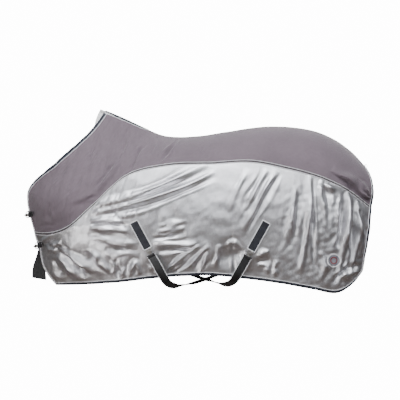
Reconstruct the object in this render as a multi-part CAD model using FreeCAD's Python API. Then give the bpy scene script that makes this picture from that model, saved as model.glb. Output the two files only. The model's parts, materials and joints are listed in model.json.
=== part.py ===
import FreeCAD, Part
import functools
import math
import os

# A fly sheet for a horse, in millimetres, as it hangs on a standing horse.
# +X runs from the chest to the tail, +Z is up and the near (left) side is -Y.
# The origin is on the spine, at the dip behind the withers, on the cloth's inner face.

Vector = FreeCAD.Vector

# ---- Driving dimensions ---------------------------------------------------------------
CLOTH = 2.0  # thickness of the stretch jersey and of the mesh
GAP = 0.5  # half of the gap between two pieces that are sewn edge to edge
BINDING_WIDTH = 14.0
BINDING_PROUD = 0.8  # how far a binding stands off each face of the cloth
PIPING_WIDTH = 7.0
PIPING_HEIGHT = 1.8
TAPE_WIDTH = 22.0
WEBBING_WIDTH = 47.0
WEBBING = 2.0  # thickness of the webbing
FLEECE_THICKNESS = 9.0
FLEECE_DEPTH = 3.0  # from the cloth's inner face to the fleece's backing
FLEECE_FORWARD = 34.0  # how far the fleece stands out of the neck opening
BADGE_RADIUS = 35.0
BADGE_CENTRE = (843.0, -605.0)
TAB_WIDTH = 25.0  # webbing of the two chest fastenings
WIRE = 4.0  # wire of the rings and eyes
CREST_END = 0.225  # share of the sheet's length where the bound crest ends
CHEST_TOP = 0.372  # share of the girth, from the ridge, where the neck edge meets the chest

# Stations from the neck and chest edge to the rear edge. Each is one line of the cloth from
# the ridge down to the hem, as (x, half width, z) at eight landmarks: ridge, crown, turn,
# bend, colour seam, flank, belly and hem.
STATIONS = (
    ((-300, 0, 130), (-377, 52, 26), (-545, 104, -130), (-691, 12, -280),
     (-658, 4, -485), (-634, 5, -560), (-615, 14, -650), (-545, 42, -745)),
    ((-200, 0, 87), (-285, 84, -5), (-425, 165, -155), (-515, 200, -310),
     (-500, 195, -453), (-475, 196, -545), (-440, 185, -640), (-400, 165, -733)),
    ((-95, 0, 37), (-150, 108, -18), (-240, 190, -105), (-320, 236, -215),
     (-363, 250, -333), (-335, 262, -460), (-285, 258, -590), (-235, 245, -716)),
    ((5, 0, 0), (-15, 100, -26), (-60, 178, -72), (-120, 224, -122),
     (-190, 250, -180), (-170, 290, -350), (-125, 290, -530), (-80, 275, -698)),
    ((160, 0, -2), (150, 95, -14), (122, 166, -44), (78, 215, -84),
     (20, 244, -127), (35, 298, -320), (60, 303, -500), (80, 290, -683)),
    ((320, 0, 22), (315, 95, 9), (300, 168, -23), (270, 222, -70),
     (230, 255, -119), (230, 310, -310), (235, 315, -500), (240, 298, -680)),
    ((480, 0, 45), (478, 95, 32), (470, 170, -1), (452, 224, -48),
     (430, 258, -110), (425, 310, -300), (422, 312, -500), (420, 296, -698)),
    ((630, 0, 44), (632, 95, 31), (632, 170, -6), (622, 225, -66),
     (610, 256, -143), (605, 298, -320), (598, 300, -520), (590, 288, -720)),
    ((780, 0, 15), (785, 90, -2), (790, 160, -45), (788, 210, -112),
     (780, 240, -192), (770, 276, -360), (755, 282, -555), (740, 274, -748)),
    ((900, 0, -50), (908, 78, -68), (916, 140, -114), (918, 183, -180),
     (910, 212, -256), (905, 243, -410), (888, 250, -590), (868, 246, -767)),
    ((1003, 0, -158), (1014, 62, -168), (1035, 114, -208), (1045, 143, -268),
     (1033, 160, -355), (1026, 172, -450), (1008, 180, -560), (990, 185, -664)),
)
SEAM_ROW = 4

# Sewn webbing patches, from their upper to their lower end, as (x, z) in the side view.
FRONT_PATCH = ((-157.0, -408.0), (-84.0, -545.0))
REAR_PATCH = ((508.0, -408.0), (428.0, -553.0))

# Girth of the belly straps from the near hook to the far patch, as (y, z).
STRAP_GIRTH = (
    (-321, -625), (-321, -668), (-306, -706), (-258, -730), (-140, -738), (0, -728),
    (130, -713), (230, -708), (290, -712), (320, -694), (326, -655), (323, -612), (320, -569),
)
STRAP_RISE = 19.0  # how far the rear strap lies above the front one where they cross
STRAP_TWIST = 32.0  # degrees that each strap turns its face to the near side as it sags


# ---- The cloth's inner face -------------------------------------------------------------
def slope(knots, fetch, i):
    """Slope at knot i of the parabola through it and its two neighbours."""
    middle = min(max(i, 1), len(knots) - 2)
    before = knots[middle] - knots[middle - 1]
    after = knots[middle + 1] - knots[middle]
    rise_before = (fetch(middle) - fetch(middle - 1)) / before
    rise_after = (fetch(middle + 1) - fetch(middle)) / after
    if i < middle:
        return rise_before + (rise_before - rise_after) * (before / (before + after))
    if i > middle:
        return rise_after + (rise_after - rise_before) * (after / (before + after))
    return (rise_before * after + rise_after * before) / (before + after)


def spline_point(knots, fetch, t):
    """Point at t of the smooth curve through fetch(i) at knots[i], straight past its ends."""
    last = len(knots) - 1
    if t < knots[0]:
        return fetch(0) + slope(knots, fetch, 0) * (t - knots[0])
    if t > knots[last]:
        return fetch(last) + slope(knots, fetch, last) * (t - knots[last])
    i = 0
    while i < last - 1 and t > knots[i + 1]:
        i += 1
    span = knots[i + 1] - knots[i]
    s = (t - knots[i]) / span
    start, end = fetch(i), fetch(i + 1)
    leave = slope(knots, fetch, i) * span
    arrive = slope(knots, fetch, i + 1) * span
    return (
        start * (2 * s**3 - 3 * s**2 + 1)
        + leave * (s**3 - 2 * s**2 + s)
        + end * (3 * s**2 - 2 * s**3)
        + arrive * (s**3 - s**2)
    )


def chord_knots(points):
    """Knots from 0 to 1, in step with the straight distance between the points."""
    knots = [0.0]
    for a, b in zip(points, points[1:]):
        knots.append(knots[-1] + (b - a).Length)
    return [k / knots[-1] for k in knots]


def seamed_knots(points):
    """Knots from 0 at the ridge to 0.5 at the colour seam and 1 at the hem."""
    upper = chord_knots(points[: SEAM_ROW + 1])
    lower = chord_knots(points[SEAM_ROW:])
    return [k / 2 for k in upper] + [0.5 + k / 2 for k in lower[1:]]


NEAR_LINES = [[Vector(x, -y, z) for x, y, z in station] for station in STATIONS]
LINE_KNOTS = [seamed_knots(line) for line in NEAR_LINES]


def station_knots():
    """Knots along the sheet, in step with the mean distance between two stations."""
    knots = [0.0]
    for a, b in zip(NEAR_LINES, NEAR_LINES[1:]):
        mean = sum((q - p).Length for p, q in zip(a, b)) / len(a)
        knots.append(knots[-1] + mean)
    return [k / knots[-1] for k in knots]


STATION_KNOTS = station_knots()


@functools.lru_cache(maxsize=None)
def line_point(station, v):
    return spline_point(LINE_KNOTS[station], NEAR_LINES[station].__getitem__, v)


def sheet_point(u, v):
    """Point of the near side's inner face: u from neck to tail, v from ridge to hem."""
    return spline_point(STATION_KNOTS, lambda i: line_point(i, v), u)


def sheet_slopes(u, v, step=1e-4):
    """The face's two slopes, in millimetres per unit of u and of v."""
    along = (sheet_point(u + step, v) - sheet_point(u - step, v)) / (2 * step)
    down = (sheet_point(u, v + step) - sheet_point(u, v - step)) / (2 * step)
    return along, down


def sheet_normal(u, v):
    along, down = sheet_slopes(u, v)
    return down.cross(along).normalize()


def off_sheet(u, v, height):
    """Point at a height outwards from the inner face."""
    return sheet_point(u, v) + sheet_normal(u, v) * height


def along_share(width, u, v):
    """The share of u that a width takes at this place."""
    return width / sheet_slopes(u, v)[0].Length


def down_share(width, u, v):
    """The share of v that a width takes at this place."""
    return width / sheet_slopes(u, v)[1].Length


def locate(x, z, v=0.75):
    """The (u, v) whose point is at x and z in the side view."""
    u = 0.5
    for _ in range(40):
        point = sheet_point(u, v)
        along, down = sheet_slopes(u, v)
        miss_x, miss_z = x - point.x, z - point.z
        area = along.x * down.z - along.z * down.x
        u += 0.7 * (miss_x * down.z - miss_z * down.x) / area
        v += 0.7 * (miss_z * along.x - miss_x * along.z) / area
    return u, v


# ---- Solids from two grids of points ------------------------------------------------------
def solid_between(inner, outer):
    """Closed solid between two grids of points with the same rows and columns."""
    faces = []
    surfaces = []
    for grid in (inner, outer):
        surface = Part.BSplineSurface()
        surface.interpolate(grid)
        surfaces.append(surface)
        faces.append(surface.toShape())
    low, high = surfaces
    u0, u1, v0, v1 = low.bounds()
    a0, a1, b0, b1 = high.bounds()
    pairs = (
        (low.uIso(u0), high.uIso(a0)),
        (low.uIso(u1), high.uIso(a1)),
        (low.vIso(v0), high.vIso(b0)),
        (low.vIso(v1), high.vIso(b1)),
    )
    for below, above in pairs:
        wires = [Part.Wire(below.toShape()), Part.Wire(above.toShape())]
        faces += Part.makeLoft(wires, False, True).Faces
    shell = Part.makeShell(faces)
    shell.sewShape()
    if shell.ShapeType != "Shell":
        shell = shell.Shells[0]
    solid = Part.makeSolid(shell)
    if solid.Volume < 0:
        solid.reverse()
    return solid


def cloth_patch(place, low, high, columns, rows):
    """Solid from height low to height high over place(a, b), which gives (u, v)."""
    inner = []
    outer = []
    for i in range(columns + 1):
        places = [place(i / columns, j / rows) for j in range(rows + 1)]
        inner.append([off_sheet(u, v, low) for u, v in places])
        outer.append([off_sheet(u, v, high) for u, v in places])
    return solid_between(inner, outer)


def mix(start, end, share):
    return start + (end - start) * share


def ramp(t, low, high):
    """Smooth step from 0 at low to 1 at high."""
    s = min(max((t - low) / (high - low), 0.0), 1.0)
    return s * s * (3 - 2 * s)


def ribbon(centres, facings, width, low, high):
    """Flat band along centres; each facing is the outward direction at its centre."""
    inner = []
    outer = []
    for i, centre in enumerate(centres):
        tangent = centres[min(i + 1, len(centres) - 1)] - centres[max(i - 1, 0)]
        tangent.normalize()
        facing = facings[i] - tangent * facings[i].dot(tangent)
        facing.normalize()
        side = tangent.cross(facing)
        shares = (-0.5, -0.17, 0.17, 0.5)
        inner.append([centre + side * (width * s) + facing * low for s in shares])
        outer.append([centre + side * (width * s) + facing * high for s in shares])
    return solid_between(inner, outer)


def placed(shape, origin, x_axis, y_axis):
    """Moves a shape from its own axes to x_axis, y_axis and their cross product."""
    x_axis = Vector(x_axis).normalize()
    z_axis = x_axis.cross(Vector(y_axis)).normalize()
    y_axis = z_axis.cross(x_axis)
    matrix = FreeCAD.Matrix(
        x_axis.x, y_axis.x, z_axis.x, origin.x,
        x_axis.y, y_axis.y, z_axis.y, origin.y,
        x_axis.z, y_axis.z, z_axis.z, origin.z,
        0, 0, 0, 1,
    )
    moved = shape.copy()
    moved.Placement = FreeCAD.Placement(matrix)
    return moved


def box(x0, x1, y0, y1, z0, z1):
    return Part.makeBox(x1 - x0, y1 - y0, z1 - z0, Vector(x0, y0, z0))


# ---- Panels and their edges --------------------------------------------------------------
def upper_panel():
    """Jersey over the neck, shoulder and back, from the ridge to the colour seam."""
    def place(a, b):
        v = mix(0.0, 0.5, b)
        u = mix(
            along_share(BINDING_WIDTH + GAP, 0, v),
            1 - along_share(BINDING_WIDTH + GAP, 1, v),
            a,
        )
        return u, mix(down_share(GAP, u, 0), 0.5 - down_share(GAP, u, 0.5), b)
    return cloth_patch(place, 0, CLOTH, 48, 26)


def lower_panel():
    """Mesh over the side, from the colour seam to the hem binding."""
    def place(a, b):
        v = mix(0.5, 1.0, b)
        u = mix(
            along_share(BINDING_WIDTH + GAP, 0, v),
            1 - along_share(BINDING_WIDTH + GAP, 1, v),
            a,
        )
        top = 0.5 + down_share(GAP, u, 0.5)
        return u, mix(top, 1 - down_share(BINDING_WIDTH + GAP, u, 1), b)
    return cloth_patch(place, 0, CLOTH, 48, 14)


def end_binding(u_edge, v_start, v_end):
    """Binding along the front edge (u_edge 0) or the rear edge (u_edge 1)."""
    inward = 1 if u_edge == 0 else -1
    def place(a, b):
        v = mix(v_start, v_end, b)
        return u_edge + inward * a * along_share(BINDING_WIDTH - GAP, u_edge, v), v
    return cloth_patch(place, -BINDING_PROUD, CLOTH + BINDING_PROUD, 3, 40)


def hem_binding():
    def place(a, b):
        return a, 1 - b * down_share(BINDING_WIDTH - GAP, a, 1)
    return cloth_patch(place, -BINDING_PROUD, CLOTH + BINDING_PROUD, 60, 3)


def crest_binding():
    """Binding that lies on the crest's edge, on the outside of the jersey."""
    def place(a, b):
        u = mix(along_share(BINDING_WIDTH + GAP, 0, 0), CREST_END, a)
        return u, down_share(GAP, u, 0) + b * down_share(BINDING_WIDTH, u, 0)
    return cloth_patch(place, CLOTH + 0.1, CLOTH + 1.6, 14, 3)


def seam_piping():
    """Piping that covers the seam between the jersey and the mesh."""
    def place(a, b):
        u = mix(along_share(BINDING_WIDTH, 0, 0.5), 1 - along_share(BINDING_WIDTH, 1, 0.5), a)
        return u, 0.5 + (b - 0.5) * down_share(PIPING_WIDTH, u, 0.5)
    return cloth_patch(place, CLOTH + 0.1, CLOTH + 0.1 + PIPING_HEIGHT, 44, 3)


def round_badge():
    """Thin round patch that follows the mesh."""
    x, z = BADGE_CENTRE
    reach = BADGE_RADIUS + 4
    def place(a, b):
        return locate(x + (2 * a - 1) * reach, z + (2 * b - 1) * reach)
    square = cloth_patch(place, CLOTH + 0.1, CLOTH + 1.3, 5, 5)
    u, v = locate(x, z)
    normal = sheet_normal(u, v)
    cutter = Part.makeCylinder(BADGE_RADIUS, 40, off_sheet(u, v, -20), normal)
    return square.common(cutter)


def across_ridge(u_start, u_end, half_width, low, high, columns, rows):
    """Solid that lies across the ridge, the same on the near and the far side."""
    inner = []
    outer = []
    for i in range(columns + 1):
        u = mix(u_start, u_end, i / columns)
        reach = down_share(half_width, u, 0.02)
        low_row = []
        high_row = []
        for j in range(2 * rows + 1):
            side = j / rows - 1
            v = max(abs(side) * reach, 1e-3)
            normal = sheet_normal(u, v)
            if side == 0:
                normal = Vector(normal.x, 0, normal.z).normalize()
            base = sheet_point(u, abs(side) * reach)
            for height, row in ((low, low_row), (high, high_row)):
                point = base + normal * height
                half = max(-point.y, 0.3 * -base.y)
                row.append(Vector(point.x, math.copysign(half, side), point.z))
        inner.append(low_row)
        outer.append(high_row)
    return solid_between(inner, outer)


def chest_underlap():
    """Flap that hangs between the two front edges, below the chest closure."""
    corners = (
        (Vector(-634, 2, -556), Vector(-618, -3, -556)),
        (Vector(-648, 3, -606), Vector(-616, -5, -608)),
        (Vector(-666, 5, -664), Vector(-606, -8, -668)),
        (Vector(-668, 6, -712), Vector(-600, -12, -722)),
    )
    back = []
    front = []
    knots = chord_knots([c[0] for c in corners])
    for i in range(9):
        t = i / 8
        far = spline_point(knots, [c[0] for c in corners].__getitem__, t)
        near = spline_point(knots, [c[1] for c in corners].__getitem__, t)
        outward = Vector(-0.15, -1, 0).normalize()
        row = [mix(far, near, s) + outward * (4 * s * (1 - s)) for s in (0, 0.25, 0.5, 0.75, 1)]
        back.append(row)
        front.append([p + outward * CLOTH for p in row])
    return solid_between(back, front)


# ---- Tail flap ------------------------------------------------------------------------------
FLAP_HINGE = Vector(1001.0, 0.0, -187.0)
FLAP_LENGTH = 398.0
FLAP_TOP_HALF = 80.0
FLAP_LOW_HALF = 148.0
YOKE_SHARE = 0.085  # share of the girth that the yoke takes on each side


def flap_point(a, b):
    """Point of the flap's inner face: a from -1 to 1 across, b from 0 at the top to 1."""
    depth = FLAP_LENGTH * b
    half = mix(FLAP_TOP_HALF, FLAP_LOW_HALF, min(1.0, 1.6 * b))
    round_off = 1 - 0.10 * a**4 if b > 0.5 else 1 - 0.10 * a**4 * (2 * b) ** 3
    belly = 9 * math.sin(math.pi * b) - 6 * b + 4 * (1 - a * a) * min(1.0, 3 * b)
    return Vector(FLAP_HINGE.x + belly, half * a, FLAP_HINGE.z - depth * round_off)


def flap_normal(a, b, step=1e-3):
    across = flap_point(a + step, b) - flap_point(a - step, b)
    down = flap_point(a, b + step) - flap_point(a, b - step)
    return down.cross(across).normalize()


def flap_solid(columns, rows, spread, low, high):
    """Solid on the flap over spread(s, t), which gives (a, b)."""
    inner = []
    outer = []
    for i in range(columns + 1):
        low_row = []
        high_row = []
        for j in range(rows + 1):
            a, b = spread(i / columns, j / rows)
            normal = flap_normal(a, b)
            low_row.append(flap_point(a, b) + normal * low)
            high_row.append(flap_point(a, b) + normal * high)
        inner.append(low_row)
        outer.append(high_row)
    return solid_between(inner, outer)


def tail_flap():
    side = 1 - BINDING_WIDTH / FLAP_LOW_HALF
    foot = 1 - BINDING_WIDTH / FLAP_LENGTH
    return flap_solid(12, 12, lambda s, t: (mix(-side, side, s), foot * t), 0, CLOTH)


def tail_flap_binding():
    """Bound edge down both sides and along the foot of the flap."""
    low, high = -BINDING_PROUD, CLOTH + BINDING_PROUD
    side = 1 - (BINDING_WIDTH - 2 * GAP) / FLAP_LOW_HALF
    foot = 1 - (BINDING_WIDTH - 2 * GAP) / FLAP_LENGTH
    left = flap_solid(3, 12, lambda s, t: (mix(-1, -side, s), foot * t), low, high)
    right = flap_solid(3, 12, lambda s, t: (mix(side, 1, s), foot * t), low, high)
    bottom = flap_solid(12, 3, lambda s, t: (mix(-1, 1, s), mix(foot, 1, t)), low, high)
    return Part.makeCompound([left, bottom, right])


def tail_flap_yoke():
    """Cloth between the sheet's edge at the dock and the line the flap turns on."""
    inner = []
    outer = []
    for i in range(13):
        a = mix(-1, 1, i / 12)
        edge = sheet_point(1, abs(a) * YOKE_SHARE)
        top = Vector(edge.x, math.copysign(edge.y, a), edge.z - 2 * GAP)
        foot = Vector(FLAP_HINGE.x, FLAP_TOP_HALF * a, FLAP_HINGE.z + 2 * GAP)
        rows = [mix(top, foot, t) for t in (0, 0.35, 0.7, 1)]
        inner.append(rows)
        outer.append([p + Vector(CLOTH, 0, 0) for p in rows])
    return solid_between(inner, outer)


def tail_loop():
    """Small upright webbing loop at the dock, for the cord that runs under the tail."""
    loop = box(-4.7, 4.7, -8, 8, 0, 28).cut(box(-2.7, 2.7, -9, 9, 2, 26))
    loop.translate(Vector(1010.9, 0, -168))
    return loop


# ---- Belly straps ---------------------------------------------------------------------------
def side_strip(ends, width, low, high):
    """Strip that lies on the mesh from one (x, z) to another."""
    (x0, z0), (x1, z1) = ends
    length = math.hypot(x1 - x0, z1 - z0)
    across = ((z1 - z0) / length, -(x1 - x0) / length)
    def place(a, b):
        off = (b - 0.5) * width
        return locate(mix(x0, x1, a) + across[0] * off, mix(z0, z1, a) + across[1] * off)
    return cloth_patch(place, low, high, 8, 3)


def patch_end_frame(ends, offset, height):
    """Origin and axes at a distance below a patch's lower end: across, up and outwards."""
    (x0, z0), (x1, z1) = ends
    length = math.hypot(x1 - x0, z1 - z0)
    x = x1 + (x1 - x0) / length * offset
    z = z1 + (z1 - z0) / length * offset
    u, v = locate(x, z)
    normal = sheet_normal(u, v)
    above = off_sheet(*locate(x0, z0), 0) - off_sheet(*locate(x1, z1), 0)
    up = (above - normal * above.dot(normal)).normalize()
    return off_sheet(u, v, height), up.cross(normal), up


PLATE_HEIGHT = 6.0  # of the slot plate's back over the cloth's inner face
PLATE_LENGTH = 18.0
HOOK_STEM_END = -20.0
STRAP_END_GAP = 4.0
STRAP_STEPS = 60
ADJUSTER_STEP = 57


def slot_plate():
    """Flat plate with a slot; its lower bar holds the hook."""
    plate = box(-14, 14, 0, PLATE_LENGTH, 0, 2.5)
    return plate.cut(box(-10.5, 10.5, 4.5, 12, -1, 4))


def strap_hook():
    """Hook round the slot plate's lower bar, with a wide foot that carries the strap."""
    front = box(-8, 8, HOOK_STEM_END + 6, 9, 3.5, 5.7)
    bridge = box(-8, 8, 6.5, 9, -3, 5.7)
    tail = box(-8, 8, -1, 9, -3, -0.9)
    foot = box(-22, 22, HOOK_STEM_END, HOOK_STEM_END + 6, 3.5, 5.7)
    return front.fuse([bridge, tail, foot]).removeSplitter()


def strap_line(near_ends, far_ends, rise):
    """Centres and facings of a strap, which slants evenly from the hook to the far patch."""
    origin, across, up = patch_end_frame(near_ends, PLATE_LENGTH + GAP, PLATE_HEIGHT)
    start = origin + up * (HOOK_STEM_END - 0.4) + across.cross(up) * 4.6
    far_x = patch_end_frame(far_ends, STRAP_END_GAP, 0)[0].x
    girth = [Vector(0, start.y, start.z)] + [Vector(0, y, z) for y, z in STRAP_GIRTH]
    knots = chord_knots(girth)
    step = 1e-3
    knots_per_step = 1 / (2 * step)
    centres = []
    facings = []
    for i in range(STRAP_STEPS + 1):
        t = i / STRAP_STEPS
        centre = spline_point(knots, girth.__getitem__, t)
        run = slope_between(knots, girth, t, step)
        centre.x = mix(start.x, far_x, t)
        centre.z += rise * math.sin(math.pi * t) ** 2
        centres.append(centre)
        facing = Vector(0, run.z, -run.y).normalize()
        way = Vector(far_x - start.x, run.y * knots_per_step, run.z * knots_per_step).normalize()
        side = way.cross(facing) * (1 if far_x < start.x else -1)
        twist = math.radians(STRAP_TWIST) * ramp(t, 0.15, 0.27) * (1 - ramp(t, 0.32, 0.5))
        facings.append(facing * math.cos(twist) + side * math.sin(twist))
    return centres, facings


def slope_between(knots, points, t, step):
    """Change of the smooth curve through the points from just before t to just after it."""
    before = spline_point(knots, points.__getitem__, t - step)
    return spline_point(knots, points.__getitem__, t + step) - before


def adjuster(centre, along, outward):
    """Three-bar slide round the strap, with its middle bar outside and two bars inside."""
    half = WEBBING_WIDTH / 2 + 1.0
    rails = [box(s * half - (3 if s < 0 else 0), s * half + (3 if s > 0 else 0), -13, 13, -3.4, 5.4)
             for s in (-1, 1)]
    bars = [box(-half, half, y - 2, y + 2, -3.4, -1.0) for y in (-11, 11)]
    middle = box(-half, half, -2, 2, WEBBING + 1.0, 5.4)
    frame = rails[0].fuse([rails[1], middle] + bars).removeSplitter()
    return placed(frame, centre, along.cross(outward), along)


# ---- Chest fastenings ------------------------------------------------------------------------
# Each piece is made along its own Y axis. The snap runs forwards from the near flap, and its
# hook holds the bow of the ring, which runs back along the far flap.
EYE_FRONT = 0.0  # front of the eye; the swivel pin starts here
BARREL_START = 1.0
BARREL_RADIUS = 7.5
BARREL_LENGTH = 24.0
HOOK_RADIUS = 8.0
HOOK_OFFSET = 3.0  # from the barrel's axis to the middle of the hook
HOOK_MIDDLE = BARREL_START + BARREL_LENGTH + 6.0
HOOK_REACH = HOOK_MIDDLE + 1.6  # from the eye to the middle of the ring's wire
BOLT_OFFSET = -5.0
RING_LENGTH = 31.0
RING_HALF = 15.0
RING_BAR = 2.5
EYE_BAR = -12.25
CLOSURES = (
    ("upper", Vector(-702, 0, -398), 0.15),
    ("lower", Vector(-656, 0, -556), 0.2),
)


def along_y(radius, length, x, y, z=0.0):
    return Part.makeCylinder(radius, length, Vector(x, y, z), Vector(0, 1, 0))


def snap_eye():
    """Upright webbing eye with the swivel pin."""
    outer = box(-2, 2, -14, 0, -16, 16)
    window = box(-3, 3, -10.5, -3.5, -13, 13)
    pin = along_y(2.2, 9, 0, EYE_FRONT - 0.5)
    head = along_y(3.2, 1.5, 0, EYE_FRONT + 7)
    return outer.cut(window).fuse([pin, head]).removeSplitter()


def snap_body():
    """Barrel that turns on the eye's pin, with a round hook that the bolt closes."""
    barrel = along_y(BARREL_RADIUS, BARREL_LENGTH, 0, BARREL_START)
    hook = Part.makeTorus(HOOK_RADIUS, 2.2, Vector(HOOK_OFFSET, HOOK_MIDDLE, 0), Vector(0, 0, 1))
    hook = hook.cut(box(-9, -1, BARREL_START + BARREL_LENGTH, HOOK_MIDDLE, -4, 4))
    voids = [
        along_y(2.3, 8, 0, BARREL_START - 1),
        along_y(3.4, 2.4, 0, EYE_FRONT + 6.6),
        along_y(1.7, 20, BOLT_OFFSET, BARREL_START + 6.5),
        box(-9, BOLT_OFFSET, BARREL_START + 6.5, BARREL_START + 17.5, -1.6, 1.6),
    ]
    return barrel.fuse(hook).cut(Part.makeCompound(voids)).removeSplitter()


def snap_bolt():
    """Sliding bolt that closes the hook's mouth, with the thumb knob."""
    pin = along_y(1.5, HOOK_MIDDLE - BARREL_START - 14.3, BOLT_OFFSET, BARREL_START + 14)
    knob = box(-10.5, BOLT_OFFSET, BARREL_START + 14, BARREL_START + 17, -1.3, 1.3)
    return pin.fuse(knob).removeSplitter()


def d_ring():
    """Ring with its bow at the origin and its straight bar at RING_LENGTH."""
    wire = WIRE / 2
    bow = Part.makeTorus(RING_HALF, wire, Vector(), Vector(0, 0, 1), 0, 360, 180)
    bow.rotate(Vector(), Vector(0, 1, 0), 90)
    bow.rotate(Vector(), Vector(1, 0, 0), 180)
    bow.translate(Vector(0, RING_HALF, 0))
    straight = RING_LENGTH - RING_HALF + 0.4
    sides = [along_y(wire + 0.1, straight, 0, RING_HALF - 0.4, z) for z in (-RING_HALF, RING_HALF)]
    bar_start = Vector(0, RING_LENGTH, -RING_HALF - 3)
    bar = Part.makeCylinder(RING_BAR, 2 * (RING_HALF + 3), bar_start, Vector(0, 0, 1))
    return bow.fuse(sides).fuse(bar).Solids[0]


def webbing_tab(side, bar_y, bore):
    """Webbing loop round a bar, with its doubled end running away from the closure."""
    half = TAB_WIDTH / 2
    layer = 1.8
    ends = sorted((bar_y, bar_y + side * 32))
    loop = Part.makeCylinder(bore + layer, TAB_WIDTH, Vector(0, bar_y, -half), Vector(0, 0, 1))
    run = box(-layer - 0.3, layer + 0.3, ends[0], ends[1], -half, half)
    hole = Part.makeCylinder(bore, TAB_WIDTH + 2, Vector(0, bar_y, -half - 1), Vector(0, 0, 1))
    slit_ends = sorted((bar_y, bar_y + side * 34))
    slit = box(-0.3, 0.3, slit_ends[0], slit_ends[1], -half - 1, half + 1)
    return loop.fuse(run).cut(hole).cut(slit).removeSplitter()


def closure_axes(side, tilt):
    """X and Y axes of the near snap (side -1) or the far ring (side 1)."""
    along = Vector(side * 0.5, 0.87, side * tilt).normalize()
    return along.cross(Vector(0, 0, 1)).normalize(), along


def chest_closure(name, hook_point, tilt):
    """Exports one fastening, whose hook and ring meet at hook_point."""
    across, along = closure_axes(-1, tilt)
    eye = hook_point - across * HOOK_OFFSET - along * HOOK_REACH
    for piece, shape in (
        ("snap_eye", snap_eye()),
        ("snap_body", snap_body()),
        ("snap_bolt", snap_bolt()),
        ("snap_tab", webbing_tab(-1, EYE_BAR, 2.9)),
    ):
        export(name + "_" + piece, placed(shape, eye, across, along))
    print(name, "snap", list(eye), "along", list(along))
    across, along = closure_axes(1, tilt)
    for piece, shape in (("d_ring", d_ring()), ("ring_tab", webbing_tab(1, RING_LENGTH, 2.9))):
        export(name + "_" + piece, placed(shape, hook_point, across, along))
    turn = across.cross(along)
    print(name, "ring bar", list(hook_point + along * RING_LENGTH), "turns on", list(turn))


def export(name, shape):
    if not shape.isValid():
        print("not valid:", name)
    if shape.Volume <= 0:
        print("no volume:", name, shape.Volume)
    shape.exportStep("parts/" + name + ".step")


def both_sides(name, shape):
    export("near_" + name, shape)
    export("far_" + name, shape.mirror(Vector(0, 0, 0), Vector(0, 1, 0)))


def main():
    os.makedirs("parts", exist_ok=True)
    both_sides("topline_panel", upper_panel())
    both_sides("side_panel", lower_panel())
    hem_top = 1 - down_share(BINDING_WIDTH + GAP, 0, 1)
    rear_top = 1 - down_share(BINDING_WIDTH + GAP, 1, 1)
    both_sides("neck_binding", end_binding(0, 0.004, CHEST_TOP))
    both_sides("front_binding", end_binding(0, CHEST_TOP + 0.002, hem_top))
    both_sides("rear_binding", end_binding(1, 0.004, rear_top))
    both_sides("hem_binding", hem_binding())
    both_sides("crest_binding", crest_binding())
    both_sides("seam_piping", seam_piping())
    export("spine_seam_tape", across_ridge(CREST_END, 0.985, TAPE_WIDTH / 2, -1.4, -0.3, 36, 2))
    forward = along_share(FLEECE_FORWARD, 0, 0.05)
    fleece = across_ridge(-forward, 0.12, 95, -FLEECE_DEPTH - FLEECE_THICKNESS, -FLEECE_DEPTH, 10, 6)
    export("fleece_lining", fleece)
    export("chest_underlap", chest_underlap())
    export("tail_flap", tail_flap())
    export("tail_flap_binding", tail_flap_binding())
    export("tail_flap_yoke", tail_flap_yoke())
    export("tail_loop", tail_loop())

    export("round_badge", round_badge())

    webbing_low = CLOTH + 0.1
    surcingles = (
        ("front", FRONT_PATCH, REAR_PATCH, 0.0),
        ("rear", REAR_PATCH, FRONT_PATCH, STRAP_RISE),
    )
    for name, ends, far_ends, rise in surcingles:
        patch = side_strip(ends, WEBBING_WIDTH, webbing_low, webbing_low + WEBBING)
        both_sides(name + "_patch", patch)
        origin, across, up = patch_end_frame(ends, PLATE_LENGTH + GAP, PLATE_HEIGHT)
        export(name + "_slot_plate", placed(slot_plate(), origin, across, up))
        export(name + "_strap_hook", placed(strap_hook(), origin, across, up))
        centres, facings = strap_line(ends, far_ends, rise)
        export(name + "_strap", ribbon(centres, facings, WEBBING_WIDTH, 0, WEBBING))
        along = (centres[STRAP_STEPS] - centres[ADJUSTER_STEP]).normalize()
        place = centres[ADJUSTER_STEP]
        export(name + "_adjuster", adjuster(place, along, facings[ADJUSTER_STEP]))
        pivot = origin + up * 2.25 + across.cross(up) * 1.25
        print(name, "sway", list(pivot), list(centres[STRAP_STEPS]), "slide", list(along))

    for name, hook_point, tilt in CLOSURES:
        chest_closure(name, hook_point, tilt)


if __name__ == "__main__":
    main()
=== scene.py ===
"""Fly sheet: a light neck-to-tail rug in the shape it has on a standing horse.

The jersey, the mesh sides and everything sewn to them follow one smooth surface, which runs
from the neck edge (u = 0) to the tail edge (u = 1) and from the ridge (v = 0) through the
colour seam (v = 0.5) to the hem (v = 1). Folds lift or sink that surface along its normal.
"""

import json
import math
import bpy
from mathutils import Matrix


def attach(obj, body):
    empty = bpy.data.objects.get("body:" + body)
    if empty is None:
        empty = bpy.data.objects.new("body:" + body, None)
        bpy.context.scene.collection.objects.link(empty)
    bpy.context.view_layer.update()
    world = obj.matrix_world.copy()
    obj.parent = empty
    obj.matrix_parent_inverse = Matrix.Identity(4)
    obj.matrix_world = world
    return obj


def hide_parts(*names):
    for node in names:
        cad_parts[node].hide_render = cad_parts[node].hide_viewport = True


bl_info = {
    "name": "Fly sheet",
    "version": (1, 0, 0),
    "blender": (4, 5, 0),
    "location": "3D View > Sidebar > Fly sheet",
    "description": "Builds a horse's fly sheet over its packed model",
    "category": "Object",
}

import bpy
import numpy as np
from mathutils import Vector

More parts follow.
